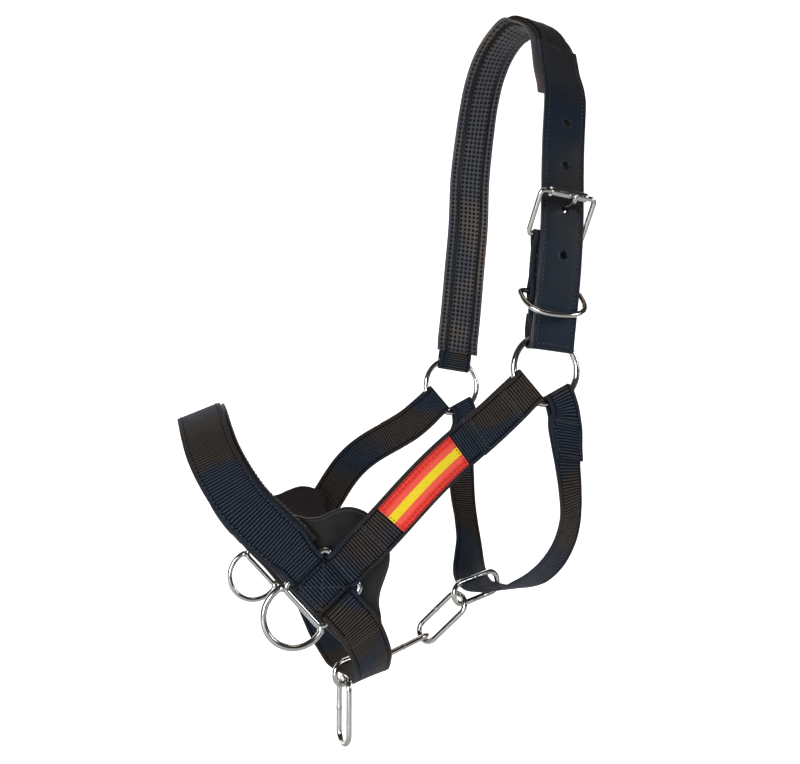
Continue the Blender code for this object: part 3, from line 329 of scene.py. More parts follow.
MAT = {
    "web": webbing("webbing_ribbed"),
    "leather": leather("leather_strap"),
    "overlay": leather("leather_overlay", (0.0060, 0.0050, 0.0042), (0.0095, 0.0072, 0.0056), 0.46),
    "perforated": perforated("lining_perforated"),
    # The noseband lining is painted near-black so that it passes for webbing in shade: partly painted shade,
    # with its random tone.
    "lining": leather("lining_smooth", (0.0060, 0.0042, 0.0048), (0.0095, 0.0072, 0.0070), 0.5),
    # Side pad leather: its lighter warm second colour, laid in random cloud patches, is painted sheen.
    "pad": pad_skin("pad_smooth", (0.0075, 0.0090, 0.0125), (0.0260, 0.0230, 0.0210), rough=0.34),
    "cloth": pad_skin("pad_knit", (0.021, 0.0105, 0.0130), (0.028, 0.0145, 0.0175), 1.0, 0.9, 0.05),
    "ribbon": striped("ribbon_stripes"),
    "thread": thread("thread_black", (0.050, 0.049, 0.052)),
    "brown_thread": thread("thread_brown", (0.120, 0.095, 0.078)),
    "red_thread": thread("thread_red", (0.34, 0.008, 0.008)),
    # near-black fill set inside the tip strap's holes: painted shade
    "shade_fill": thread("hole_fill_painted_shade", (0.004, 0.0036, 0.0034)),
    "steel": polished("steel_polished"),
    "weld": polished("steel_weld", (0.55, 0.54, 0.52), 0.28),
}


# ---- meshes ---------------------------------------------------------------------------------
def put(name, verts, faces, mat, body, slot, nodes=(), uv=None, edge=None, padded=None):
    """A mesh object from points in mm; uv and edge hold one pair for each face corner."""
    mesh = bpy.data.meshes.new(name)
    pts = (np.asarray(verts, float) + vec(0, 0, DATUM_Z)) * MM
    mesh.from_pydata(pts.tolist(), [], faces)
    for layer, pairs in (("strap", uv), ("edge", edge)):
        if pairs is not None:
            data = mesh.uv_layers.new(name=layer).data
            data.foreach_set("uv", np.asarray(pairs, np.float32).ravel())
    mesh.materials.append(mat)
    mesh.polygons.foreach_set("use_smooth", np.ones(len(faces), bool))
    mesh.update()
    obj = bpy.data.objects.new(name, mesh)
    bpy.context.scene.collection.objects.link(obj)
    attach(obj, body)
    if nodes:
        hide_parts(*nodes)
    return obj


def skin(rings, uvs, edges, closed=False, caps=True):
    """Faces through rings of points, with the UV pairs of their corners; ends get flat caps."""
    rings = np.asarray(rings, float)
    count, per = rings.shape[:2]
    verts = rings.reshape(-1, 3).tolist()
    faces, uv, edge = [], [], []
    for i in range(count if closed else count - 1):
        j = (i + 1) % count
        for k in range(per):
            m = (k + 1) % per
            faces.append((i * per + k, i * per + m, j * per + m, j * per + k))
            for a, b in ((i, k), (i, m), (i + 1, m), (i + 1, k)):
                a = min(a, len(uvs) - 1)
                uv.append(uvs[a][b])
                edge.append(edges[a % count][b])
    if caps and not closed:
        for i, order in ((0, range(per - 1, -1, -1)), (count - 1, range(per))):
            first = len(verts)
            verts += rings[i].tolist()
            order = list(order)
            faces.append(tuple(first + k for k in order))
            uv += [uvs[i][k] for k in order]
            edge += [(0.0, edges[i][k][1]) for k in order]
    return verts, faces, uv, edge


def wire(points, radius, closed=False, sides=20, up=None):
    """Rings of a round wire along the points."""
    pts = np.asarray(points, float)
    count = len(pts)
    if closed:
        tan = unit(np.roll(pts, -1, 0) - np.roll(pts, 1, 0))
    else:
        tan = unit(np.concatenate([pts[1:], pts[-1:]]) - np.concatenate([pts[:1], pts[:-1]]))
    radii = np.broadcast_to(np.asarray(radius, float), (count,))
    up = None if up is None else np.asarray(up, float)
    rings, side = [], None
    for i in range(count):
        guess = up if up is not None else side if side is not None else vec(0.3, 0.5, 0.8)
        side = unit(guess - tan[i] * np.dot(guess, tan[i]))
        other = np.cross(tan[i], side)
        a = 2 * math.pi * np.arange(sides) / sides
        rings.append(pts[i] + radii[i] * (np.cos(a)[:, None] * side + np.sin(a)[:, None] * other))
    return np.array(rings)


def wire_parts(rings, closed):
    flat = np.zeros((len(rings) + 1, len(rings[0]), 2))
    return skin(rings, flat, flat, closed)


def join(parts):
    """One list of vertices and faces from several (verts, faces, uv, edge) parts."""
    verts, faces, uv, edge = [], [], [], []
    for v, f, a, b in parts:
        base = len(verts)
        verts += list(v)
        faces += [tuple(base + k for k in face) for face in f]
        uv += list(a)
        edge += list(b)
    return verts, faces, uv, edge


def wires(name, parts, body, nodes=(), mat="steel"):
    verts, faces = join(parts)[:2]
    return put(name, verts, faces, MAT[mat], body, "steel", nodes)


def curve_span(pts, i, count):
    """Points of the centripetal Catmull-Rom span after pts[i], and how far along it each lies."""
    p = (pts[i - 1] if i else 2 * pts[0] - pts[1], pts[i], pts[i + 1],
         pts[i + 2] if i + 2 < len(pts) else 2 * pts[-1] - pts[-2])
    t = [0.0]
    for a, b in zip(p, p[1:]):
        t.append(t[-1] + max(np.linalg.norm(b - a), 1e-6) ** 0.5)
    u = np.linspace(t[1], t[2], count + 1)[:-1, None]

    def blend(a, b, j, k):
        return (t[k] - u) / (t[k] - t[j]) * a + (u - t[j]) / (t[k] - t[j]) * b

    a1, a2, a3 = (blend(p[k], p[k + 1], k, k + 1) for k in range(3))
    return blend(blend(a1, a2, 0, 2), blend(a2, a3, 1, 3), 1, 2), (u - t[1]) / (t[2] - t[1])


def refine(points, step, fine=0.0):
    """A smooth curve through rows of numbers, with a sample at least every step."""
    pts = np.asarray(points, float)
    out = []
    for i in range(len(pts) - 1):
        gap = np.linalg.norm(pts[i + 1] - pts[i])
        count = max(int(math.ceil(gap / step)), 3 if gap < fine else 1)
        out.append(curve_span(pts, i, count)[0])
    return np.concatenate(out + [pts[-1:]])


class Rail:
    """Smooth line through control points, with arc length, across direction and outward normal."""

    def __init__(self, points, across, outward):
        pts, acr = np.array(points, float), np.array(across, float)
        dense, acrosses = [], []
        for i in range(len(pts) - 1):
            span, w = curve_span(pts, i, 16)
            dense.append(span)
            acrosses.append(acr[i] * (1 - w) + acr[i + 1] * w)
        self.p = np.concatenate(dense + [pts[-1:]])
        self.a = np.concatenate(acrosses + [acr[-1:]])
        step = np.linalg.norm(np.diff(self.p, axis=0), axis=1)
        self.s = np.concatenate([[0.0], np.cumsum(step)])
        self.length = float(self.s[-1])
        self.outward = outward

    def pick(self, table, s):
        return np.stack([np.interp(s, self.s, table[:, k]) for k in range(3)], axis=1)

    def frames(self, s):
        """Position, along, across and outward directions at each s of an array."""
        s = np.atleast_1d(np.asarray(s, float))
        inside = np.clip(s, 0.0, self.length)
        tan = unit(self.pick(self.p, np.minimum(inside + 1.0, self.length)) -
                   self.pick(self.p, np.maximum(inside - 1.0, 0.0)))
        pos = self.pick(self.p, inside) + tan * (s - inside)[:, None]
        a = self.pick(self.a, inside)
        a = unit(a - tan * dots(a, tan))
        n = np.cross(tan, a)
        out = np.array([self.outward(p) for p in pos])
        n = n * np.where(dots(n, out) < 0, -1.0, 1.0)
        return pos, tan, a, n

    def where(self, test):
        for s, p in zip(self.s, self.p):
            if test(p):
                return float(s)
        return self.length


def round_edge(w, t):
    """The half round from the lower to the upper face of a strap w wide and t thick to each side."""
    return [(w - t + t * math.cos(q), t * math.sin(q)) for q in np.radians(np.linspace(-90, 90, 7))]


def web_section(width, thick):
    """Points round a webbing strap: round selvedges and very slightly hollow faces."""
    w, t = width / 2, thick / 2
    right = round_edge(w, t)
    top = [(w - 2.4, t * 0.90), (w * 0.4, t * 0.94), (-w * 0.4, t * 0.94), (-w + 2.4, t * 0.90)]
    return np.array(right + top + [(-x, -y) for x, y in right] + [(-x, -y) for x, y in top])


def strap(name, rail, sv, section, mat, body, slot, nodes=(), widths=None, step=2.2, shift=0.0,
          padded=None, phase=0.0):
    """A strap whose section is carried along the (s, v) path of a rail."""
    path = refine(sv, step, 1.6)
    keep = np.concatenate([[True], np.linalg.norm(np.diff(path, axis=0), axis=1) > 0.05])
    path = path[keep]
    pos, tan, a, n = rail.frames(path[:, 0])
    pts = pos + n * path[:, 1:2]
    along = unit(np.gradient(pts, axis=0))
    a = unit(a - along * dots(a, along))
    nn = np.cross(along, a)
    run = np.concatenate([[0.0], np.cumsum(np.linalg.norm(np.diff(pts, axis=0), axis=1))])
    scale = np.ones(len(path)) if widths is None else np.array([widths(s) for s in path[:, 0]])
    half = section[:, 0].max()
    rings, uvs, edges = [], [], []
    face_out = np.sign(dots(nn, n)).ravel()
    face_out[face_out == 0] = 1
    for i in range(len(path)):
        x, y = section[:, 0] * scale[i], section[:, 1]
        rings.append(pts[i] + a[i] * (x + shift)[:, None] + nn[i] * y[:, None])
        uvs.append(np.stack([x, np.full(len(x), run[i] + phase)], 1))
        outer = (y * face_out[i] > 0).astype(float)
        edges.append(np.stack([half * scale[i] - np.abs(x), outer], 1))
    v, f, uv, edge = skin(rings, uvs, edges)
    return put(name, v, f, mat, body, slot, nodes, uv, edge, padded)


def web_strap(name, node, rail, sv, widths=None, width=WEB_W, thick=WEB_T, step=2.2):
    """A band of ribbed webbing, which rides on the straps' body and replaces one CAD band."""
    return strap(name, rail, sv, web_section(width, thick), MAT["web"], "straps", "webbing", [node],
                 widths, step)


def seed_points(rail, x, v, s0, s1, pitch):
    """Centres and frames of stitches at an even pitch along a line on a strap."""
    count = max(int(round(abs(s1 - s0) / pitch)), 1)
    s = s0 + (np.arange(count) + 0.5) * (s1 - s0) / count
    pos, tan, a, n = rail.frames(s)
    xs = x(s) if callable(x) else np.full(len(s), float(x))
    vs = v(s) if callable(v) else np.full(len(s), float(v))
    return pos + a * xs[:, None] + n * vs[:, None], tan, a, n


def stitch_parts(centre, along, up, length, radius=0.32):
    """Short threads lying along the given directions, their ends dipping into the cloth."""
    parts = []
    rows = ((-1.0, 0.0, -0.9), (-0.86, 0.75, -0.35), (-0.35, 1.0, 0.12), (0.35, 1.0, 0.12),
            (0.86, 0.75, -0.35), (1.0, 0.0, -0.9))
    for c, t, n in zip(centre, along, up):
        side = unit(np.cross(t, n))
        rings = []
        for q, r, drop in rows:
            mid = c + t * (q * length / 2) + n * (drop * radius)
            ang = 2 * math.pi * np.arange(6) / 6
            spoke = np.cos(ang)[:, None] * side + np.sin(ang)[:, None] * n
            rings.append(mid + max(r, 0.25) * radius * spoke)
        parts.append(rings)
    rings = np.array(parts)
    count = len(rings)
    base = rings.reshape(count, -1, 3)
    faces = []
    for i in range(count):
        o = i * 36
        for r in range(5):
            for k in range(6):
                m = (k + 1) % 6
                faces.append((o + r * 6 + k, o + r * 6 + m, o + r * 6 + 6 + m, o + r * 6 + 6 + k))
        faces.append(tuple(o + k for k in range(5, -1, -1)))
        faces.append(tuple(o + 30 + k for k in range(6)))
    return base.reshape(-1, 3), faces


class Sewing:
    """Collects rows of stitches that ride on one body with one thread."""

    def __init__(self, name, mat="thread", body="straps", slot="webbing"):
        self.name, self.mat, self.body, self.slot = name, mat, body, slot
        self.verts, self.faces, self.count = [], [], 0

    def add(self, centre, along, up, length, radius=0.32):
        v, f = stitch_parts(centre, along, up, length, radius)
        self.faces += [tuple(self.count + k for k in face) for face in f]
        self.verts.append(v)
        self.count += len(v)

    def rows(self, rail, xs, v, s0, s1, pitch=3.0, share=0.72, radius=0.32, down=False):
        """Rows along the strap at each across offset; down sews on the inner face."""
        for x in xs:
            c, t, a, n = seed_points(rail, x, v, s0, s1, pitch)
            self.add(c, t, -n if down else n, pitch * share, radius)

    def across(self, rail, s, v, half, pitch=2.6, share=0.72, radius=0.32, down=False, shift=0.0):
        """One row of stitches across the strap at s."""
        pos, tan, a, n = rail.frames([s])
        vv = v(np.array([s]))[0] if callable(v) else v
        count = max(int(round(2 * half / pitch)), 1)
        x = -half + (np.arange(count) + 0.5) * 2 * half / count + shift
        c = pos[0] + n[0] * vv + a[0] * x[:, None]
        self.add(c, np.repeat(a, count, 0), np.repeat(-n if down else n, count, 0), pitch * share, radius)

    def box(self, rail, s0, s1, v, half, down=False, pitch=2.6, radius=0.32, cross=False):
        """A sewn rectangle, with the crossing diagonals where cross is set."""
        self.rows(rail, (-half, half), v, s0, s1, pitch, radius=radius, down=down)
        self.across(rail, s0, v, half, pitch, radius=radius, down=down)
        self.across(rail, s1, v, half, pitch, radius=radius, down=down)
        if cross:
            count = int(math.hypot(s1 - s0, 2 * half) / pitch)
            t = (np.arange(count) + 0.5) / count
            for way in (1, -1):
                pos, tan, a, n = rail.frames(s0 + t * (s1 - s0))
                c = pos + a * (way * half * (2 * t - 1))[:, None] + n * (v if not callable(v) else v(s0))
                d = unit(tan * (s1 - s0) + a * way * 2 * half)
                self.add(c, d, -n if down else n, pitch * 0.72, radius)

    def finish(self):
        return put(self.name, np.concatenate(self.verts), self.faces, MAT[self.mat], self.body, self.slot)


def holes_in(obj, cutters):
    """Cuts the holes for good, so that the piece is a plain mesh again."""
    for cutter in cutters:
        mod = obj.modifiers.new("cut", "BOOLEAN")
        mod.operation, mod.solver, mod.object = "DIFFERENCE", "EXACT", cutter
    bpy.context.view_layer.update()
    mesh = bpy.data.meshes.new_from_object(obj.evaluated_get(bpy.context.evaluated_depsgraph_get()))
    obj.modifiers.clear()
    obj.data = mesh
    mesh.polygons.foreach_set("use_smooth", np.ones(len(mesh.polygons), bool))
    for cutter in cutters:
        bpy.data.objects.remove(cutter, do_unlink=True)


def punch(centre, axis, radius, length, count=32):
    """A round cutter for holes_in."""
    ax = unit(axis)
    side = unit(np.cross(ax, vec(0.2, 0.3, 0.9)))
    other = np.cross(ax, side)
    ang = 2 * math.pi * np.arange(count) / count
    ring = radius * (np.cos(ang)[:, None] * side + np.sin(ang)[:, None] * other)
    rings = [centre - ax * length / 2 + ring, centre + ax * length / 2 + ring]
    verts = np.concatenate(rings)
    faces = [(k, (k + 1) % count, count + (k + 1) % count, count + k) for k in range(count)]
    faces += [tuple(range(count - 1, -1, -1)), tuple(range(count, 2 * count))]
    return cutter_from(verts, faces)


def cutter_from(verts, faces):
    mesh = bpy.data.meshes.new("cutter")
    mesh.from_pydata(((np.asarray(verts, float) + vec(0, 0, DATUM_Z)) * MM).tolist(), [], faces)
    bm = bmesh.new()
    bm.from_mesh(mesh)
    bmesh.ops.recalc_face_normals(bm, faces=bm.faces)
    bm.to_mesh(mesh)
    bm.free()
    obj = bpy.data.objects.new("cutter", mesh)
    bpy.context.scene.collection.objects.link(obj)
    return obj


# ---- rails and folds, as in the CAD ---------------------------------------------------------
def side_out(side):
    return lambda p: vec(0, side, 0)


def mirrored(point, side):
    return vec(point[0], abs(point[1]) * side, point[2])


def square_axes(side):
    e1 = unit(vec(CHEEK_DIR[0], 0, CHEEK_DIR[1]))
    return mirrored(SQUARE_C, side), e1, vec(-e1[2], 0, e1[0])


def link_frame(spec):
    c, az, el, roll = spec
    az, el, roll = (math.radians(x) for x in (az, el, roll))
    a = vec(math.cos(el) * math.cos(az), math.cos(el) * math.sin(az), math.sin(el))
    if abs(a[2]) > 0.999:
        return vec(*c), a, vec(math.cos(az), math.sin(az), 0)
    b0 = unit(vec(0, 0, 1) - a * a[2])
    return vec(*c), a, b0 * math.cos(roll) + np.cross(a, b0) * math.sin(roll)


def buckle_axes():
    up = unit(BUCKLE_UP)
    return vec(*BUCKLE_BAR), up, unit(vec(1, 0, 0) - up * up[0])


def fold_spread(s, low=LAYER, reach=24.0, join_at=36.0):
    r = RING_WIRE + GAP + WEB_T / 2
    return low + (r - low) * (1 - smooth01((s - reach) / (join_at - reach)))


def half_turn(s, r, ahead=1):
    """The (s, v) path of a strap's middle half round a bar at s, ahead of the bar or behind it."""
    return [(s + ahead * r * math.sin(q), r * math.cos(q)) for q in np.radians(range(0, 181, 20))]


def ring_fold(width=RING_FOLD_W, flap=62.0, low=LAYER):
    r = RING_WIRE + GAP + WEB_T / 2
    turn = math.sqrt(RING_MEAN ** 2 - (width / 2) ** 2) - FOLD_EASE
    turns = [(s, float(fold_spread(s, low))) for s in (37.0, 33.0, 30.0, 27.0, 24.0, turn + 3.0)]
    return [(flap, low)] + turns + half_turn(turn, r, -1) + [(s, -v) for s, v in reversed(turns)]


def bar_fold(flap=26.0, low=LAYER, join_at=11.0):
    r = SQUARE_WIRE + GAP + WEB_T / 2

    def v_at(s):
        return float(low + (r - low) * (1 - smooth01((s - 1.0) / (join_at - 1.0))))

    steps = (join_at, join_at * 0.75, join_at * 0.5, join_at * 0.25)
    back = [(s, -v_at(s)) for s in reversed(steps)]
    return [(s, v_at(s)) for s in steps] + half_turn(0.0, r, -1) + back + [(flap, -low)]


def fold_widths(start, end, low, run=14.0):
    def at(s):
        return float(low + (1 - low) * smooth01(min(s - start, end - s) / run))
    return at


def cheek_rail(side):
    c, e1, e2 = square_axes(side)
    ring = mirrored(RING_C, side)
    run = math.hypot(ring[0] - c[0], ring[2] - c[2])
    lift = 4.5 if side < 0 else 8.5
    pts = []
    for s in np.linspace(0, run, 17):
        bulge = math.sin(math.pi * min(max((s - 0.17 * run) / (0.64 * run), 0.0), 1.0)) ** 2
        flat = c + (ring - c) * (s / run)
        pts.append(vec(flat[0], c[1] + side * 8.0 * bulge, flat[2]) + e2 * lift * bulge)
    return Rail(pts, [e2] * len(pts), side_out(side))


CROWN_LOW = [(-28.5, 75.75, -257.0), (-27.0, 75.75, -245.0), (-25.4, 75.75, -233.0),
             (-23.8, 75.9, -221.0), (-21.0, 76.6, -199.0), (-17.6, 77.0, -165.0),
             (-14.6, 76.6, -132.0)]
CROWN_TOP_FAR = [(-13.0, 77.0, -98.7), (-12.6, 73.1, -81.0), (-12.5, 66.7, -63.8), (-13.1, 57.0, -46.6),
                 (-13.4, 44.0, -30.1), (-12.2, 28.0, -17.0), (-9.0, 12.0, -9.6)]
CROWN_TOP_NEAR = [(-0.8, 13.0, -14.2), (-1.8, 28.4, -25.1), (-4.3, 43.2, -38.9), (-8.1, 54.5, -54.1),
                  (-10.7, 62.9, -68.9), (-11.4, 70.0, -83.2), (-12.7, 74.1, -98.6)]


def crown_rail():
    far = [vec(*p) for p in CROWN_LOW + CROWN_TOP_FAR]
    near = [vec(x, -y, z) for x, y, z in CROWN_TOP_NEAR + list(reversed(CROWN_LOW))]
    pts = far + [vec(-4.4, 0, -DATUM_Z)] + near
    across = [vec(0.99, 0, 0.13)] * 4 + [vec(1, 0, 0.06)] * 4
    across += [vec(1, 0, r) for r in (0.145, 0.228, 0.285, 0.243, 0.156, 0.054, -0.1)]
    across += [vec(1, 0, r) for r in (-0.19, -0.241, -0.278, -0.273, -0.23, -0.14)]
    across += [vec(1, 0, 0.05)] * 4 + [vec(0.99, 0, 0.13)] * 4
    return Rail(pts, across, lambda p: vec(0, p[1], max(p[2] + 60.0, 0.0) + 1e-3))


def billet_rail():
    a = mirrored(RING_C, -1)
    bar, up, w = buckle_axes()
    k, b = vec(*KEEPER_BAR) - vec(1.0, 0, 0), bar - w * 2.3
    t = vec(0, -0.05, 1.0)
    t = unit(t - w * np.dot(t, w))
    pts = [a, a + vec(0.3, 0, 12), a + vec(0.5, 0, 24), a + vec(0.8, -0.2, 34), k, b - t * 16, b - t * 8, b]
    return Rail(pts, [vec(1, 0, -0.03)] * 5 + [w, w, w], side_out(-1))


def throat_rail():
    d = unit(vec(math.cos(math.radians(299)), 0, math.sin(math.radians(299))))
    acr0 = vec(-d[2], 0, d[0])
    near, far = mirrored(RING_C, -1), mirrored(RING_C, 1)
    c, a, b = link_frame(LINKS["e"])
    n = unit(vec(0.10, -0.99, 0.0))
    low = c + a * 4.6 - b * 1.4

    def turned(deg, rise):
        return unit(vec(math.cos(math.radians(deg)), math.sin(math.radians(deg)), rise))

    half = [(-18.1, 80.8, -277.5), (-16.8, 81.8, -285.3), (-17.8, 85.0, -294.3), (-18.2, 87.4, -303.5),
            (-18.2, 89.8, -314.0)]
    rise = (0.42, 0.27, 0.12, 0.03, 0.0)
    pts = [near, near + d * 8, near + d * 16] + [vec(x, -y, z) for x, y, z in half]
    pts += [vec(-17.2, -90.8, -328.0), vec(-15.9, -88.6, -343.0), vec(-16.4, -81.5, -359.0),
            vec(-19.0, -67.5, -375.0), vec(-23.0, -46.0, -388.5), vec(-29.4, -22.0, -396.5), low + n * 5.0]
    acr = [acr0] * 3 + [turned(t, r) for t, r in zip((3, 10, 16, 22, 27), rise)]
    acr += [turned(31, 0.0), turned(35, -0.03), turned(33, -0.08), turned(30, -0.16), turned(26, -0.2),
            turned(20, 0.0), turned(15, 0.16)]
    pts += [low - n * 5.0, vec(-33.6, 29.0, -395.5), vec(-26.6, 50.0, -388.5), vec(-20.2, 67.5, -376.0),
            vec(-17.6, 80.0, -361.0), vec(-17.4, 87.0, -345.0), vec(-17.6, 90.0, -328.0)]
    acr += [turned(15, 0.16), turned(22, 0.13), turned(30, 0.1), turned(33, 0.07), turned(29, 0.05),
            turned(22, 0.03), turned(16, 0.02)]
    pts += [vec(*p) for p in reversed(half)] + [far + d * 16, far + d * 8, far]
    acr += [turned(t, r) for t, r in zip((14, 12, 9, 5, 0), reversed(rise))] + [acr0] * 3
    return Rail(pts, acr, lambda p: vec(0, p[1] * 0.9, (-60.0 if p[2] < -375 else 0.0) - 1e-3))


def nose_rail():
    c, e1, e2 = square_axes(-1)
    bar = c + e2 * SQUARE_HALF
    half = [bar, bar + e2 * 6 + vec(0, -0.4, 0), bar + e2 * 12 + vec(0, -0.9, 0),
            vec(-189.2, -81.0, -352.0), vec(-197.0, -80.8, -343.2), vec(-204.5, -77.5, -333.0),
            vec(-212.0, -70.0, -319.5), vec(-218.0, -57.0, -306.0), vec(-222.0, -40.0, -294.5),
            vec(-224.0, -20.0, -286.0)]
    acr = [e1, e1, e1, vec(0.76, 0, 0.65), vec(0.78, 0, 0.62), vec(0.81, 0, 0.59),
           vec(0.85, 0, 0.52), vec(0.89, 0, 0.46), vec(0.91, 0, 0.41), vec(0.92, 0, 0.39)]
    sway = (0, 0, 0, 0.5, 1.5, 3.0, 4.0, 4.0, 2.5, 1.0)
    fore = [p - unit(a) * k for p, a, k in zip(half, acr, sway)]
    back = [vec(p[0], -p[1], p[2]) + unit(a) * 1.35 * k for p, a, k in zip(half, acr, sway)]
    pts = fore + [vec(-224.4, 0, -283.1)] + back[::-1]
    return Rail(pts, acr + [vec(0.92, 0, 0.39)] + acr[::-1],
                lambda p: vec(-1.0 if p[0] < -205 else 0.0, p[1] * 0.6, 1.2 if p[0] < -205 else 0.0))


def chin_rail():
    c, e1, e2 = square_axes(-1)
    bar = c - e2 * SQUARE_HALF
    lc, a, b = link_frame(LINKS["a"])
    low = lc + a * 1.6 - b * 3.05
    half = [bar, bar - e2 * 6, bar - e2 * 12 + vec(0, -0.2, 0)]
    near = half + [vec(-140.5, -77.0, -406.0), vec(-134.5, -70.5, -416.5), vec(-129.0, -58.5, -427.0),
                   vec(-125.0, -41.0, -436.5), vec(-121.5, -22.0, -443.0)]
    far = [vec(p[0], -p[1], p[2]) for p in half] + \
        [vec(-139.9, 79.0, -405.8), vec(-135.2, 74.5, -416.5), vec(-131.0, 62.5, -429.0),
         vec(-127.0, 45.0, -438.8), vec(-124.0, 24.0, -445.6)]
    acr_near = [e1] * 3 + [vec(0.77, 0, 0.64), vec(0.81, 0, 0.58), vec(0.86, 0, 0.5),
                           vec(0.9, 0.0, 0.38), vec(0.93, 0.05, 0.25)]
    acr_far = [e1] * 3 + [vec(0.77, 0, 0.64), vec(0.81, 0, 0.58), vec(0.86, 0.05, 0.5),
                          vec(0.88, 0.15, 0.34), vec(0.95, 0.15, 0.16)]
    mid = unit(vec(0.98, 0.12, a[2]))
    pts = near + [low + vec(0.2, -5, 0.2), low + vec(-0.2, 5, -0.2)] + far[::-1]
    return Rail(pts, acr_near + [mid, mid] + acr_far[::-1],
                lambda p: vec(0, p[1], (-40.0 if p[2] < -425 else 0.0) - 1e-3))


# ---- webbing straps -------------------------------------------------------------------------
def cheek_straps():
    sew = Sewing("cheek_stitching")
    top = LAYER + WEB_T / 2
    for name, side in (("near", -1), ("far", 1)):
        rail = cheek_rail(side)
        run = rail.length
        at_bar = [(SQUARE_HALF + s, v) for s, v in bar_fold(flap=25.0)]
        at_ring = [(run - s, v + 2 * LAYER) for s, v in ring_fold(flap=64.5)]
        body = [(s, LAYER) for s in np.linspace(SQUARE_HALF + 14, run - 40, 24)]
        bar_w = fold_widths(20.0, run + 50.0, FOLD_W / WEB_W)
        ring_w = fold_widths(-50.0, run - 22.0, RING_FOLD_W / WEB_W)
        web_strap(name + "_cheek_webbing", name + "_cheek_strap", rail,
                  at_bar[::-1] + body + at_ring[::-1], lambda s: min(bar_w(s), ring_w(s)))
        flap = top + 2 * LAYER
        for s in (run - 62.6, run - 60.2, run - 33.0, run - 30.6):
            sew.across(rail, s, flap + (LAYER if s > run - 40 else 0.0), 10.4, 2.2)
        sew.rows(rail, (-10.6, 10.6), lambda s: 2 * LAYER + fold_spread(run - s) + WEB_T / 2,
                 run - 60, run - 30, 2.6)
        for s in (SQUARE_HALF + 17.0, SQUARE_HALF + 23.0):
            sew.across(rail, s, top, 10.4, 2.2)
        sew.rows(rail, (-10.4, 10.4), top, SQUARE_HALF + 17, SQUARE_HALF + 23, 2.4)
    sew.finish()


def ribbons():
    sew = Sewing("ribbon_stitching", "red_thread", slot="ribbon")
    v = LAYER + WEB_T / 2 + GAP + 0.35
    w, t = RIBBON_W / 2, 0.35
    section = np.array([(w, 0), (w - 0.2, t), (w - 1.2, t), (0, t * 1.05), (-w + 1.2, t), (-w + 0.2, t),
                        (-w, 0), (-w + 0.2, -t), (0, -t), (w - 0.2, -t)])
    for name, side in (("near", -1), ("far", 1)):
        rail = cheek_rail(side)
        start, end = rail.length - 131.5, rail.length - 76.5
        strap(name + "_ribbon_band", rail, [(s, v) for s in np.linspace(start, end, 18)], section,
              MAT["ribbon"], "straps", "ribbon", [name + "_ribbon"], step=1.5)
        sew.rows(rail, (-9.2, -7.3, 7.3, 9.2), v + t, start + 1, end - 1, 2.5, radius=0.3)
        for s in (start + 1.1, end - 1.1):
            sew.across(rail, s, v + t, 9.0, 2.4, radius=0.27)
    sew.finish()


def noseband():
    rail = nose_rail()
    end = rail.length
    near = bar_fold(flap=23.0, low=NOSE_LAYER)
    far = [(end - s, v) for s, v in near]
    body = [(s, NOSE_LAYER) for s in np.linspace(14.0, end - 14.0, 60)]
    web_strap("noseband_ribbed", "noseband_webbing", rail, near[::-1] + body + far,
              fold_widths(5.0, end - 5.0, FOLD_W / NOSE_W), NOSE_W)
    w, t = NOSE_LINING_W / 2, 0.65
    right = round_edge(w, t)
    section = np.array(right + [(w - 3.0, t * 0.8), (0, t), (-w + 3.0, t * 0.8)] +
                       [(-x, -y) for x, y in right] + [(-w + 3.0, -t * 0.8), (0, -t), (w - 3.0, -t * 0.8)])
    strap("noseband_soft_lining", rail, [(s, 0.0) for s in np.linspace(7.5, end - 7.5, 60)], section,
          MAT["lining"], "straps", "lining", ["noseband_lining"], shift=NOSE_LINING_SHIFT)
    sew = Sewing("noseband_stitching")
    sew.rows(rail, (-11.4, 11.4), NOSE_LAYER + WEB_T / 2 - 0.05, 16, end - 16, 2.9, radius=0.36)

    def by_bar(s):
        return NOSE_LAYER + WEB_T / 2 + 0.9 * (1 - smooth01((np.minimum(s, end - s) - 1) / 10))

    for s in (8.5, 11.0, end - 8.5, end - 11.0):
        sew.across(rail, s, by_bar, 9.6, 2.2)
    sew.finish()
    rim = Sewing("noseband_rim_stitching", "brown_thread", slot="lining")
    edge = w + NOSE_LINING_SHIFT - 0.1
    c, t_, a, n = seed_points(rail, edge, 0.25, 14, end - 14, 2.7)
    rim.add(c, unit(t_ * 0.85 + n * 0.5), a, 2.5, 0.42)
    rim.rows(rail, (12.6, -10.6), -0.62, 16, end - 16, 2.9, radius=0.3, down=True)
    rim.finish()


def chin():
    rail = chin_rail()
    end = rail.length
    near = bar_fold(flap=24.0)
    far = [(end - s, v) for s, v in near]
    body = [(s, LAYER) for s in np.linspace(14.0, end - 14.0, 50)]
    squeeze = fold_widths(5.0, end - 5.0, FOLD_W / WEB_W)

    def widths(s):
        pinch = 1 - smooth01((abs(s - end / 2) - 16.0) / 16.0)
        return float(min(squeeze(s), 1 - pinch * (1 - 21.8 / WEB_W)))

    web_strap("chin_ribbed", "chin_strap", rail, near[::-1] + body + far, widths)
    sew = Sewing("chin_stitching")
    for a, b in ((13.0, 22.5), (end - 13.0, end - 22.5)):
        sew.box(rail, a, b, LAYER + WEB_T / 2, 9.9)
    sew.finish()


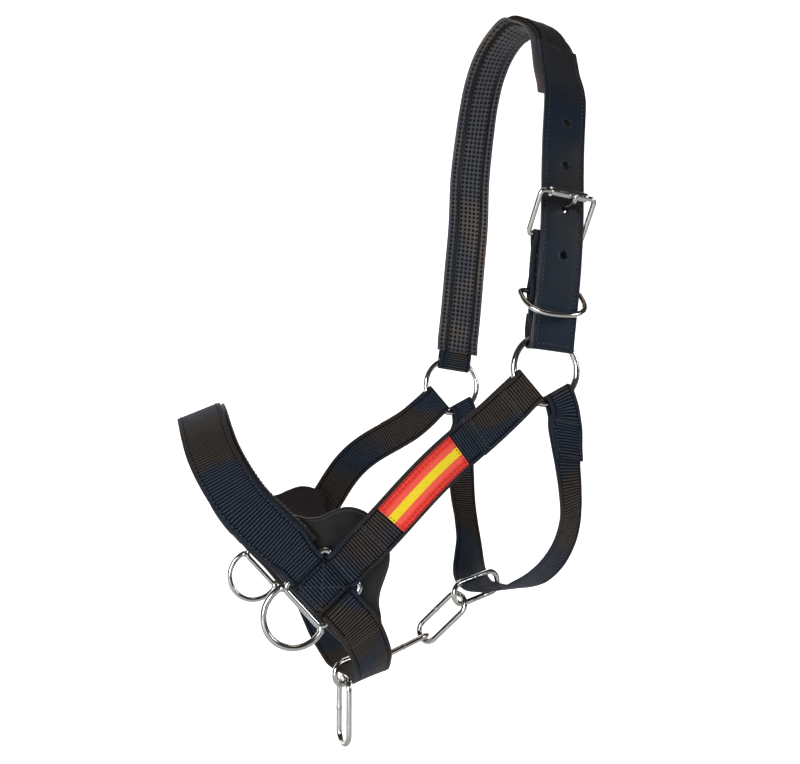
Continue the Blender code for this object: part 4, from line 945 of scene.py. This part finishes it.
def throat():
    rail = throat_rail()
    end, narrow, gap = rail.length, 18.4, 1.05
    near = ring_fold(width=narrow, flap=58.0, low=gap)
    far = [(end - s, v) for s, v in reversed(near)]
    body = [(s, -gap) for s in np.linspace(40, end - 40, 70)]
    squeeze = fold_widths(22.0, end - 22.0, narrow / WEB_W, 22.0)
    pinch_at = rail.where(lambda p: p[1] > 4.0)

    def widths(s):
        pinch = 1 - smooth01((abs(s - pinch_at) - 6.0) / 14.0)
        return float(min(squeeze(s), 1 - pinch * (1 - 23.0 / WEB_W)))

    web_strap("throat_ribbed", "throat_strap", rail, near + body + far, widths)
    sew = Sewing("throat_stitching")
    for flip in (False, True):
        at = (lambda s: end - s) if flip else (lambda s: s)
        for s in (32.5, 35.0, 53.6, 56.0):
            sew.across(rail, at(s), lambda q: fold_spread(np.minimum(q, end - q), gap) + WEB_T / 2,
                       11.2 * widths(at(s)) * 0.92, 2.2)
        sew.rows(rail, (-9.6, 9.6), gap + WEB_T / 2, at(38), at(54), 2.6)
    sew.finish()


def billet():
    rail = billet_rail()
    length = rail.length
    kb = rail.where(lambda p: p[2] > KEEPER_BAR[2])
    rk, rb = KEEPER_WIRE + GAP + WEB_T / 2, BUCKLE_WIRE + GAP + WEB_T / 2
    r = RING_WIRE + GAP + WEB_T / 2

    def spread(s):
        ring = (r - LAYER) * (1 - smooth01((s - 24) / 11.0))
        keep = (rk - LAYER) * (1 - smooth01((abs(s - kb) - 2.0) / 7.0))
        bar = (rb - LAYER) * smooth01((s - (length - 10)) / 9.0)
        return LAYER + float(max(ring, keep, bar))

    turn = math.sqrt(RING_MEAN ** 2 - (WEB_W / 2) ** 2) - FOLD_EASE
    low = [(s, -v) for s, v in half_turn(turn, r, -1)]
    ups = list(np.linspace(turn + 3.0, length - 1.5, 30))
    seam = kb - 12.0
    down = [(s, -spread(s)) for s in reversed(ups)]
    sv = [q for q in down if q[0] < seam - 0.6] + low + [(s, spread(s)) for s in ups] + \
        half_turn(length, rb) + [q for q in down if q[0] > seam + 0.6]
    obj = web_strap("billet_ribbed", "buckle_billet", rail, sv)
    c, up, w = buckle_axes()
    corners = [(x, y, z) for x in (c[0] - 1.5, c[0] + 3.1) for y in (c[1] - 6, c[1] + 6)
               for z in (c[2] - 5.4, c[2] + 5.9)]
    holes_in(obj, [cutter_from(corners, [(0, 1, 3, 2), (4, 6, 7, 5), (0, 4, 5, 1), (2, 3, 7, 6),
                                         (0, 2, 6, 4), (1, 5, 7, 3)])])
    sew = Sewing("billet_stitching")
    for s in (29.5, 32.0, kb - 9.5, kb + 9.5, length - 13.0):
        for down in (False, True):
            v = (-1 if down else 1) * (spread(s) + WEB_T / 2)
            sew.across(rail, s, v, 10.0, 2.2, down=down)
    sew.finish()


def square_patches():
    sew = Sewing("patch_stitching")
    for name, side in (("near", -1), ("far", 1)):
        c, e1, e2 = square_axes(side)
        mid = vec(c[0], (SQUARE_C[1] - 3.0) * side, c[2])
        rail = Rail([mid + e1 * x for x in (-PATCH_W / 2, -4, 4, PATCH_W / 2)], [e2] * 4, side_out(side))
        web_strap(name + "_patch_ribbed", name + "_square_patch", rail,
                  [(s, 0.0) for s in np.linspace(0, PATCH_W, 8)], width=PATCH_W, thick=1.2, step=1.5)
        sew.box(rail, 2.0, PATCH_W - 2.0, 0.58, 9.2, cross=True)
    sew.finish()


# ---- crown ----------------------------------------------------------------------------------
def crown():
    rail = crown_rail()
    n0 = PAD_TOP + WEB_T / 2
    end = rail.length - 171.0
    fold = [(s, v + n0 + LAYER) for s, v in ring_fold(width=WEB_W, flap=60.0)]
    body = [(s, n0) for s in np.linspace(41, end, 90)]
    web_strap("crown_ribbed", "crown_webbing", rail, fold + body)
    mid = rail.length / 2
    sew = Sewing("crown_stitching")
    flap = n0 + 2 * LAYER + WEB_T / 2
    for s in (30.5, 33.0, 55.6, 58.0):
        sew.across(rail, s, flap if s > 40 else flap + 1.0, 10.4, 2.2)
    sew.rows(rail, (-10.6, 10.6), flap, 37, 56, 2.6)
    sew.rows(rail, (-11.0, 11.0), n0 + WEB_T / 2, 62, mid - 94, 3.0)

    # padding: the channel is filled and swells between its two sewn lines
    s0, s1 = 25.6, rail.length - 173.0
    w, cw = PAD_W / 2, CHANNEL_W / 2
    s = np.concatenate([s0 + np.linspace(0, 12, 13), np.arange(s0 + 14, s1 - 12, 1.9),
                        np.linspace(s1 - 11, s1, 12)])
    pos, tan, a, n = rail.frames(s)
    off = 2.25 + LAYER - fold_spread(s)
    turns, half_t = np.radians([-60, -30, 0, 30, 60]), 0.75
    x = np.concatenate([w - half_t + half_t * np.cos(turns), np.linspace(w - 1.5, -w + 1.5, 12),
                        -w + half_t - half_t * np.cos(turns[::-1])])
    y = np.concatenate([half_t * np.sin(turns), [half_t] * 12, half_t * np.sin(turns[::-1])])
    xin = np.concatenate([-np.linspace(w - 1.5, cw + 2.2, 4), -np.linspace(cw + 1.6, cw - 2.2, 9),
                          np.linspace(-cw + 3.2, cw - 3.2, 9), np.linspace(cw - 2.2, cw + 1.6, 9),
                          np.linspace(cw + 2.2, w - 1.5, 4)])
    rings, uvs, edges = [], [], []
    for i in range(len(s)):
        rise = float(smooth01((s[i] - s0 - 3.0) / 5.0) * smooth01((s1 - 3.0 - s[i]) / 5.0))
        side = np.clip((cw + 0.9 - np.abs(xin)) / 2.6, 0, 1)
        swell = np.sqrt(np.clip(1 - (1 - side) ** 2, 0, 1))
        swell = swell * (1.36 + 0.16 * np.clip(1 - (xin / cw) ** 2, 0, 1))
        dent = 0.22 * np.exp(-((np.abs(xin) - cw - 1.0) / 0.45) ** 2)
        yin = -half_t - rise * swell + dent * rise
        xx, yy = np.concatenate([x, xin]), np.concatenate([y, yin])
        rings.append(pos[i] + n[i] * off[i] + a[i] * xx[:, None] + n[i] * yy[:, None])
        uvs.append(np.stack([xx, np.full(len(xx), s[i] - s0)], 1))
        edges.append(np.stack([w - np.abs(xx), (yy > 0.1).astype(float)], 1))
    v, f, uv, edge = skin(rings, uvs, edges)
    put("crown_padding", v, f, MAT["perforated"], "straps", "lining", ["crown_pad"], uv, edge, padded=0.45)
    pad_sew = Sewing("padding_stitching", "thread", slot="lining")

    def base(q):
        return 2.25 + LAYER - fold_spread(q) - 0.72

    pad_sew.rows(rail, (-w + 1.9, w - 1.9), base, s0 + 4, s1 - 3, 2.8, down=True, radius=0.3)
    pad_sew.rows(rail, (-cw - 1.0, cw + 1.0), lambda q: base(q) + 0.05, s0 + 6, s1 - 5, 2.6,
                 down=True, radius=0.26)
    for q in (s0 + 1.6, s0 + 3.9, s1 - 2.0):
        pad_sew.across(rail, q, base, w - 2.2, 2.4, down=True, radius=0.3)
    pad_sew.finish()

    no = OVER_WEB + OVERLAY_T / 2
    strap("crown_leather_overlay", rail, [(q, no) for q in np.linspace(mid - 92, mid + 70.5, 50)],
          leather_section(OVERLAY_W, OVERLAY_T), MAT["overlay"], "straps", "leather", ["crown_overlay"])
    edge_sew = Sewing("leather_stitching", "thread", slot="leather")
    edge_sew.rows(rail, (-8.1, 8.1), no + OVERLAY_T / 2 - 0.05, mid - 90, mid + 69.5, 2.7, radius=0.3)
    edge_sew.across(rail, mid - 90.6, no + OVERLAY_T / 2 - 0.05, 8.0, 2.6, radius=0.3)
    tip(rail, mid, edge_sew)
    edge_sew.finish()
    sew.finish()


def leather_section(width, thick):
    """Strap leather: rounded, slightly domed between its creased edges."""
    w, t = width / 2, thick / 2
    e = min(0.9, t)
    ang = np.radians(np.linspace(0, 90, 4))
    right_top = [(w - e + e * math.cos(q), (t - e) + e * math.sin(q)) for q in ang]
    xs = np.linspace(w - e - 0.8, -(w - e - 0.8), 11)
    crease = 0.16 * np.exp(-((np.abs(xs) - (w - 1.9)) / 0.35) ** 2)
    dome = list(zip(xs, t - 0.10 + 0.10 * (1 - (xs / w) ** 2) - crease))
    left_top = [(-x, y) for x, y in right_top[::-1]]
    low = [(-x, -y) for x, y in right_top[1:]]
    return np.array(right_top + dome + left_top + low + [(0.0, -t)] + [(-x, y) for x, y in low[::-1]])


TIP_LINE = [(-16.0, -83.4, -118.0), (-17.4, -84.8, -136.0), (-18.7, -86.6, -152.0),
            (-20.1, -88.4, -168.0), (-21.5, -89.3, -184.0), (-22.8, -89.2, -200.0),
            (-24.4, -88.8, -216.0), (-26.0, -88.0, -232.0), (-27.4, -87.4, -246.5)]


def tip(rail, mid, sew):
    """Leather tip strap with punched holes, pressed round the holes and sewn along its edges; near-black
    fills inside the holes are painted shade.
    """
    n0 = OVER_WEB + TIP_T / 2
    q = np.linspace(mid + 71.3, rail.length - 168.0, 9)
    pos, tan, a, n = rail.frames(q)
    head = pos + n * n0
    acr = [vec(1, 0, -0.02)] * 2 + [vec(1, 0, 0.0)] * 4 + [vec(1, 0, 0.05)] * 3
    line = Rail(list(head) + [vec(*p) for p in TIP_LINE], list(a) + acr, side_out(-1))
    s_hole = line.where(lambda p: p[2] < -160.4)
    holes = [s_hole + k * HOLE_PITCH for k in (-2, -1, 0, 1)]
    obj = strap("tip_strap_leather", line, [(s, 0.0) for s in np.linspace(0, line.length, 90)],
                leather_section(TIP_W, TIP_T), MAT["leather"], "straps", "leather", ["tip_strap"])
    pos, tan, a, n = line.frames(holes)
    spots = pos + a * 1.4
    holes_in(obj, [punch(p, ax, HOLE_D / 2 - 0.1, 9.0) for p, ax in zip(spots, n)])
    ang = np.linspace(0, 2 * math.pi, 37)[:-1, None]

    def hole_ring(k, radius, lift, thick):
        ring = spots[k] + (tan[k] * np.cos(ang) + a[k] * np.sin(ang)) * radius + n[k] * lift
        return wire_parts(wire(ring, thick, True, 10, n[k]), True)

    rims = [hole_ring(k, HOLE_D / 2 + 0.25, sign * (TIP_T / 2 - 0.22), 0.42)
            for k in range(len(holes)) for sign in (1, -1)]
    v, f, uv, edge = join(rims)
    put("tip_hole_rims", v, f, MAT["leather"], "straps", "leather", uv=uv,
        edge=np.full((len(uv), 2), 6.0))
    # Painted shade: near-black plugs inside the first two holes and a near-black ring in the third make the
    # holes read dark, with no bright background through them.
    shade_plugs = [wire_parts(wire([p - nn * 1.25, p - nn * 0.55], HOLE_D / 2 - 0.14, False, 28), False)
             for p, nn in zip(spots[:2], n[:2])]
    shade_plugs.append(hole_ring(2, 1.95, -0.8, 0.5))
    put("tip_hole_painted_shade", *join(shade_plugs)[:2], MAT["shade_fill"], "straps", "leather")
    top = TIP_T / 2 - 0.12
    sew.rows(line, (-11.1, 11.1), top, 3.0, line.length - 4.0, 2.75, radius=0.32)
    sew.rows(line, (-11.1, 11.1), -TIP_T / 2 + 0.1, 3.0, line.length - 4.0, 2.75, radius=0.3, down=True)
    sew.across(line, line.length - 3.6, top, 10.6, 2.75, radius=0.32)
    sew.across(line, 3.0, top, 10.6, 2.75, radius=0.32)


# ---- side pads ------------------------------------------------------------------------------
PAD_UPPER = [(-12.6, 0.0), (-13.0, 10.0), (-13.2, 20.0), (-12.6, 30.0), (-10.0, 39.0), (-4.5, 45.5),
             (3.5, 47.5), (11.0, 44.5), (16.0, 38.5), (20.0, 32.5), (25.5, 28.5), (32.5, 26.0),
             (39.5, 22.5), (44.5, 16.5), (47.0, 8.5)]
PAD_LOWER = [(46.0, 0.0), (44.2, -8.0), (41.0, -14.5), (36.0, -19.5), (29.0, -23.5), (22.5, -27.0),
             (17.5, -31.5), (13.5, -38.0), (9.0, -44.0), (2.5, -47.0), (-5.0, -45.0), (-10.0, -39.0),
             (-12.6, -30.0), (-13.2, -20.0), (-13.0, -10.0)]


def side_pads():
    rim = Sewing("pad_rim_stitching", "thread", slot="pad_leather")
    for name, side in (("near", -1), ("far", 1)):
        grow = 1.0 if side < 0 else 1.12
        outline = [(x * grow, y * grow) if x > 3 else (x, y * grow) for x, y in PAD_UPPER] + PAD_LOWER
        outline = np.array(outline)
        wrap = np.concatenate([outline[-2:], outline, outline[:3]])
        fine = refine(wrap, 1.5)
        first = int(np.argmin(np.linalg.norm(fine - outline[0], axis=1)))
        last = len(fine) - 1 - int(np.argmin(np.linalg.norm(fine[::-1] - outline[0], axis=1)))
        fine = fine[first:last] if last > first else fine
        c, e1, e2 = square_axes(side)
        mid = vec(12.0, 0.0)

        def place(pts, depth):
            x, y = pts[:, 0], pts[:, 1]
            bend = 6.5 * (np.abs(y) / 48.0) ** 2 + 1.5 * (x / 48.0) ** 2 * (x > 0)
            return vec(c[0], 0, c[2]) + e1 * x[:, None] + e2 * y[:, None] + \
                vec(0, side, 0) * (74.9 - bend - depth)[:, None]

        def slab(label, thick, inset, drop, mat, slot, node, padded=None):
            rings = []
            ang = np.radians(np.linspace(0, 180, 9))
            inner = [0.01, 0.15, 0.3, 0.45, 0.6, 0.75, 0.9]
            for level in inner:
                rings.append((mid + (fine - mid) * level * inset, np.full(len(fine), drop)))
            for q in ang:
                pull = (1 - math.sin(q)) * thick * 0.5
                size = inset * (1 - pull / 40.0)
                depth = drop + thick * (1 - math.cos(q)) / 2
                rings.append((mid + (fine - mid) * size, np.full(len(fine), depth)))
            for level in inner[::-1]:
                rings.append((mid + (fine - mid) * level * inset, np.full(len(fine), drop + thick)))
            pts = np.array([place(p, d) for p, d in rings])
            flat = np.zeros((len(rings), len(fine), 2))
            v, f, uv, edge = skin(pts, flat, np.full((len(rings), len(fine), 2), 5.0))
            put(label, v, f, mat, "straps", slot, [node], uv, edge, padded)

        slab(name + "_pad_leather_face", 2.2, 1.0, 0.0, MAT["pad"], "pad_leather", name + "_side_pad", 0.3)
        slab(name + "_pad_cloth_face", 1.0, 0.985, 2.2 + GAP, MAT["cloth"], "pad_cloth", name + "_pad_lining")
        stitched = mid + (fine - mid) * 0.945
        loop = refine(np.concatenate([stitched, stitched[:1]]), 2.9)
        pts = place(loop, np.full(len(loop), 0.02))
        rim.add((pts[1:] + pts[:-1]) / 2, unit(pts[1:] - pts[:-1]),
                np.tile(vec(0, side, 0), (len(pts) - 1, 1)), 2.0, 0.27)
    rim.finish()


# ---- metalwork ------------------------------------------------------------------------------
def rings_and_squares():
    for name, side in (("near", -1), ("far", 1)):
        c = mirrored(RING_C, side)
        t = np.linspace(0, 2 * math.pi, 97)[:-1, None]
        pts = c + RING_MEAN * (vec(1, 0, 0) * np.cos(t) + vec(0, 0, 1) * np.sin(t))
        bead = 1 + 0.045 * np.exp(-((np.degrees(t[:, 0]) - 205) / 3.0) ** 2)
        wires(name + "_ring_polished", [wire_parts(wire(pts, RING_WIRE * bead, True, 22, (0, 1, 0)), True)],
              name + "_ring", [name + "_cheek_ring"])
        c, e1, e2 = square_axes(side)
        h, r = SQUARE_HALF, SQUARE_CORNER
        pts = []
        for k in range(4):
            ca, sa = round(math.cos(k * math.pi / 2)), round(math.sin(k * math.pi / 2))
            corner = [(h - r + r * math.cos(q), h - r + r * math.sin(q))
                      for q in np.radians(np.linspace(0, 90, 11))]
            bar = [((h - r) * x, h) for x in (0.5, 0.0, -0.5)]
            pts += [c + e1 * (x * ca - y * sa) + e2 * (x * sa + y * ca) for x, y in corner + bar]
        square = wire_parts(wire(pts, SQUARE_WIRE, True, 20, (0, 1, 0)), True)
        end = math.degrees(math.acos(DEE_OFFSET / DEE_RADIUS))
        arc = [c - e1 * (h + DEE_OFFSET) + DEE_RADIUS * (e1 * math.cos(q) + e2 * math.sin(q))
               for q in np.radians(np.linspace(end + 2, 360 - end - 2, 61))]
        root = h - r + r * math.cos(math.radians(45))
        pts = [c - e1 * root + e2 * root] + arc + [c - e1 * root - e2 * root]
        radii = [1.0] + [SQUARE_WIRE + 0.07] * len(arc) + [1.0]
        dee = wire_parts(wire(pts, radii, False, 20, (0, 1, 0)), False)
        beads = []
        for q in (arc[1], arc[-2]):
            mid = (q + (c - e1 * root + e2 * root * (1 if np.dot(q - c, e2) > 0 else -1))) / 2
            way = unit(q - mid)
            line = mid + way * np.linspace(-2.6, 2.6, 9)[:, None]
            size = 1.2 + 0.95 * np.sin(np.linspace(0.25, math.pi - 0.25, 9))
            beads.append(wire_parts(wire(line, size, False, 16, (0, 1, 0)), False))
        wires(name + "_square_polished", [square, dee], "straps", [name + "_nose_square"])
        wires(name + "_square_welds", beads, "straps", mat="weld")


def chain():
    for letter, spec in LINKS.items():
        c, a, b = link_frame(spec)
        r, half = LINK_WIDTH / 2 - LINK_WIRE, LINK_LENGTH / 2 - LINK_WIDTH / 2
        pts = []
        for sign in (1, -1):
            for d in np.radians(np.linspace(-90, 90, 25)):
                pts.append(c + sign * (a * (half + r * math.cos(d)) + b * r * math.sin(d)))
            for x in (0.5, 0.0, -0.5):
                pts.append(c + sign * (a * half * x + b * r))
        ring = wire_parts(wire(pts, LINK_WIRE, True, 20, np.cross(a, b)), True)
        wires("link_%s_polished" % letter, [ring], "link_" + letter, ["chain_link_" + letter])
        x = np.linspace(-2.4, 2.4, 11)[:, None]
        swell = LINK_WIRE * (0.985 + 0.085 * np.exp(-(x[:, 0] / 1.0) ** 2))
        weld = wire_parts(wire(c + b * r + a * x, swell, False, 18, np.cross(a, b)), False)
        wires("link_%s_weld" % letter, [weld], "link_" + letter, mat="weld")


def buckle():
    c, up, w = buckle_axes()
    n = np.cross(w, up)
    r, pts = 3.0, []
    for i, (sx, sy) in enumerate(((1, 0), (1, 1), (-1, 1), (-1, 0))):
        cx, cy = sx * (BUCKLE_W / 2 - r), r if sy == 0 else BUCKLE_H - r
        for d in np.radians((-90, 0, 90, 180)[i] + np.linspace(0, 90, 11)):
            pts.append(c + w * (cx + r * math.cos(d)) + up * (cy + r * math.sin(d)))
    wires("buckle_frame_polished", [wire_parts(wire(pts, BUCKLE_WIRE, True, 20, n), True)], "buckle",
          ["buckle_frame"])
    mid, h, inner = c + up * BUCKLE_H, ROLLER_LEN / 2, BUCKLE_WIRE + GAP
    ease = np.radians(np.linspace(0, 90, 5))
    profile = [(-h, inner), (h, inner)]
    profile += [(h - 0.5 + 0.5 * math.cos(q), ROLLER_R - 0.5 + 0.5 * math.sin(q)) for q in ease]
    profile += [(x, ROLLER_R) for x in np.linspace(h - 2, -h + 2, 5)]
    profile += [(-x, y) for x, y in profile[2:7]][::-1]
    rings = []
    for q in np.linspace(0, 2 * math.pi, 49)[:-1]:
        gap = 0.12 * math.exp(-((math.degrees(q) - 160) / 3.5) ** 2)
        rad = up * math.cos(q) + n * math.sin(q)
        rings.append([mid + w * x + rad * (y - (gap if y > 2.2 else 0)) for x, y in profile])
    wires("buckle_roller_polished", [wire_parts(np.array(rings), True)], "roller", ["buckle_roller"])
    rr = BUCKLE_WIRE + GAP + TONGUE_WIRE
    x = c[0] + 0.6
    pts = [vec(x, c[1] + rr * math.cos(math.radians(d)), c[2] + rr * math.sin(math.radians(d)))
           for d in range(-150, 81, 23)]
    top = c + up * BUCKLE_H
    pts += [vec(x + 0.6, -84.0, -171.2), vec(x + 1.8, -84.0, -167.4), vec(x + 2.9, -84.1, -164.3),
            vec(x + 3.6, -85.2, -161.6), vec(x + 3.9, -87.6, -160.4), vec(x + 4.1, -91.0, -159.7)]
    for y, z in ((2.5, -5.4), (-0.4, -5.3), (-3.1, -4.3), (-4.7, -2.4), (-5.3, -0.2)):
        pts.append(vec(x + 4.4, top[1] + y, top[2] + z))
    fine = refine(pts, 0.8)
    size = np.full(len(fine), TONGUE_WIRE)
    size[-5:] = TONGUE_WIRE * np.array([0.97, 0.9, 0.78, 0.58, 0.3])
    wires("buckle_tongue_polished", [wire_parts(wire(fine, size, False, 18), False)], "tongue",
          ["buckle_tongue"])


def keeper():
    c, w = vec(*KEEPER_BAR), vec(1, 0, 0)
    out = unit(KEEPER_OUT)
    out = unit(out - w * out[0])
    h, r, pts = KEEPER_W / 2, 3.0, []
    for d in np.radians(np.linspace(180, 270, 8)):
        pts.append(c + w * (-h + r + r * math.cos(d)) + out * (r + r * math.sin(d)))
    for d in np.radians(np.linspace(270, 360, 8)):
        pts.append(c + w * (h - r + r * math.cos(d)) + out * (r + r * math.sin(d)))
    for k in range(0, 49):
        t = math.pi * k / 48
        x = h * math.copysign(abs(math.cos(t)) ** 0.8, math.cos(t))
        pts.append(c + w * x + out * (6.0 + (KEEPER_REACH - 6.0) * math.sin(t) ** 0.8))
    pts = np.array(pts)
    keep = np.linalg.norm(pts - np.roll(pts, 1, 0), axis=1) > 0.15
    wires("keeper_polished", [wire_parts(wire(pts[keep], KEEPER_WIRE, True, 20, np.cross(w, out)), True)],
          "keeper", ["keeper_ring"])


# ---- stage ----------------------------------------------------------------------------------
def stage():
    floor = Nodes("floor_pale")
    at = floor.tree.nodes.new("ShaderNodeSeparateXYZ")
    floor.tree.links.new(floor.place(), at.inputs[0])
    glow = floor.times(floor.ramp(at.outputs[1], 0.25, 0.6), floor.ramp(at.outputs[2], 2.0, 1.5))
    glow = floor.math("MAXIMUM", glow, floor.node("ShaderNodeLightPath"))
    floor.finish(Base_Color=(0.93, 0.93, 0.93), Roughness=0.9, Specular_IOR_Level=0.1,
                 Emission_Color=(1.0, 1.0, 1.0), Emission_Strength=glow)
    mesh = bpy.data.meshes.new("floor")
    z, wide, back, seg = -0.72, 4.0, 2.6, 14
    prof = [(-4.0, z), (back - 1.0, z)]
    prof += [(back - 1.0 + math.sin(q), z + 1 - math.cos(q)) for q in np.linspace(0, math.pi / 2, seg)]
    prof += [(back, z + 4.0)]
    verts = [(x, y, h) for x in (-wide, wide) for y, h in prof]
    n = len(prof)
    mesh.from_pydata(verts, [], [(i, i + 1, n + i + 1, n + i) for i in range(n - 1)])
    mesh.materials.append(floor.mat)
    mesh.polygons.foreach_set("use_smooth", np.ones(n - 1, bool))
    obj = bpy.data.objects.new("floor", mesh)
    bpy.context.scene.collection.objects.link(obj)


def lamp(name, at, aim, size, watts, colour, size_y=None):
    data = bpy.data.lights.new(name, "AREA")
    data.energy, data.color, data.size = watts, colour, size
    if size_y:
        data.shape, data.size_y = "RECTANGLE", size_y
    obj = bpy.data.objects.new(name, data)
    obj.location = at
    obj.rotation_euler = (Vector(aim) - Vector(at)).to_track_quat("-Z", "Y").to_euler()
    bpy.context.scene.collection.objects.link(obj)


def light():
    """Window light from the left front and a lamp from the right, in a dim room seen as plain white."""
    world = bpy.data.worlds.new("studio")
    bpy.context.scene.world = world
    world.use_nodes = True
    tree = world.node_tree
    back = tree.nodes["Background"]
    coord = tree.nodes.new("ShaderNodeTexCoord")
    sep = tree.nodes.new("ShaderNodeSeparateXYZ")
    tree.links.new(coord.outputs["Generated"], sep.inputs[0])
    ramp = tree.nodes.new("ShaderNodeValToRGB")
    tree.links.new(sep.outputs[1], ramp.inputs[0])
    ramp.color_ramp.elements[0].color = (0.16, 0.16, 0.17, 1)
    ramp.color_ramp.elements[1].color = (0.95, 0.95, 0.97, 1)
    seen = tree.nodes.new("ShaderNodeBackground")
    seen.inputs["Strength"].default_value = 1.0
    seen.inputs["Color"].default_value = (1.0, 1.0, 1.0, 1.0)
    back.inputs["Strength"].default_value = 0.22
    tree.links.new(ramp.outputs[0], back.inputs["Color"])
    either = tree.nodes.new("ShaderNodeMixShader")
    tree.links.new(tree.nodes.new("ShaderNodeLightPath").outputs["Is Camera Ray"], either.inputs[0])
    tree.links.new(back.outputs[0], either.inputs[1])
    tree.links.new(seen.outputs[0], either.inputs[2])
    tree.links.new(either.outputs[0], tree.nodes["World Output"].inputs["Surface"])
    mid = (-0.10, 0.0, -0.24)
    lamp("window", (-1.1, -1.4, -0.15), mid, 0.8, 26, (0.86, 0.94, 1.0))
    lamp("bulb", (1.1, -1.0, 0.15), mid, 0.5, 6, (0.80, 0.90, 1.0))
    lamp("top", (0.2, -0.3, 1.3), mid, 0.7, 2.0, (1.0, 0.84, 0.66))
    lamp("rear", (0.3, 1.4, 0.7), mid, 0.8, 3.5, (1.0, 0.93, 0.84))


def camera():
    data = bpy.data.cameras.new("camera")
    data.lens, data.sensor_width, data.sensor_fit = 40.5, 36.0, "HORIZONTAL"
    data.clip_start, data.clip_end = 0.01, 50.0
    obj = bpy.data.objects.new("camera", data)
    turn, tilt = math.radians(17.10), math.radians(3.90)
    look = vec(math.sin(turn) * math.cos(tilt), math.cos(turn) * math.cos(tilt), math.sin(tilt))
    right = vec(math.cos(turn), -math.sin(turn), 0.0)
    above, place = np.cross(right, look), (-0.2696, -0.5685, -0.2941)
    obj.matrix_world = Matrix([[right[k], above[k], -look[k], place[k]] for k in range(3)]
                              + [[0, 0, 0, 1]])
    bpy.context.scene.collection.objects.link(obj)
    bpy.context.scene.camera = obj
    bpy.context.scene.view_settings.view_transform = "Standard"


camera()
light()
stage()
cheek_straps()
ribbons()
noseband()
chin()
throat()
billet()
square_patches()
crown()
side_pads()
rings_and_squares()
chain()
buckle()
keeper()
bpy.context.view_layer.update()
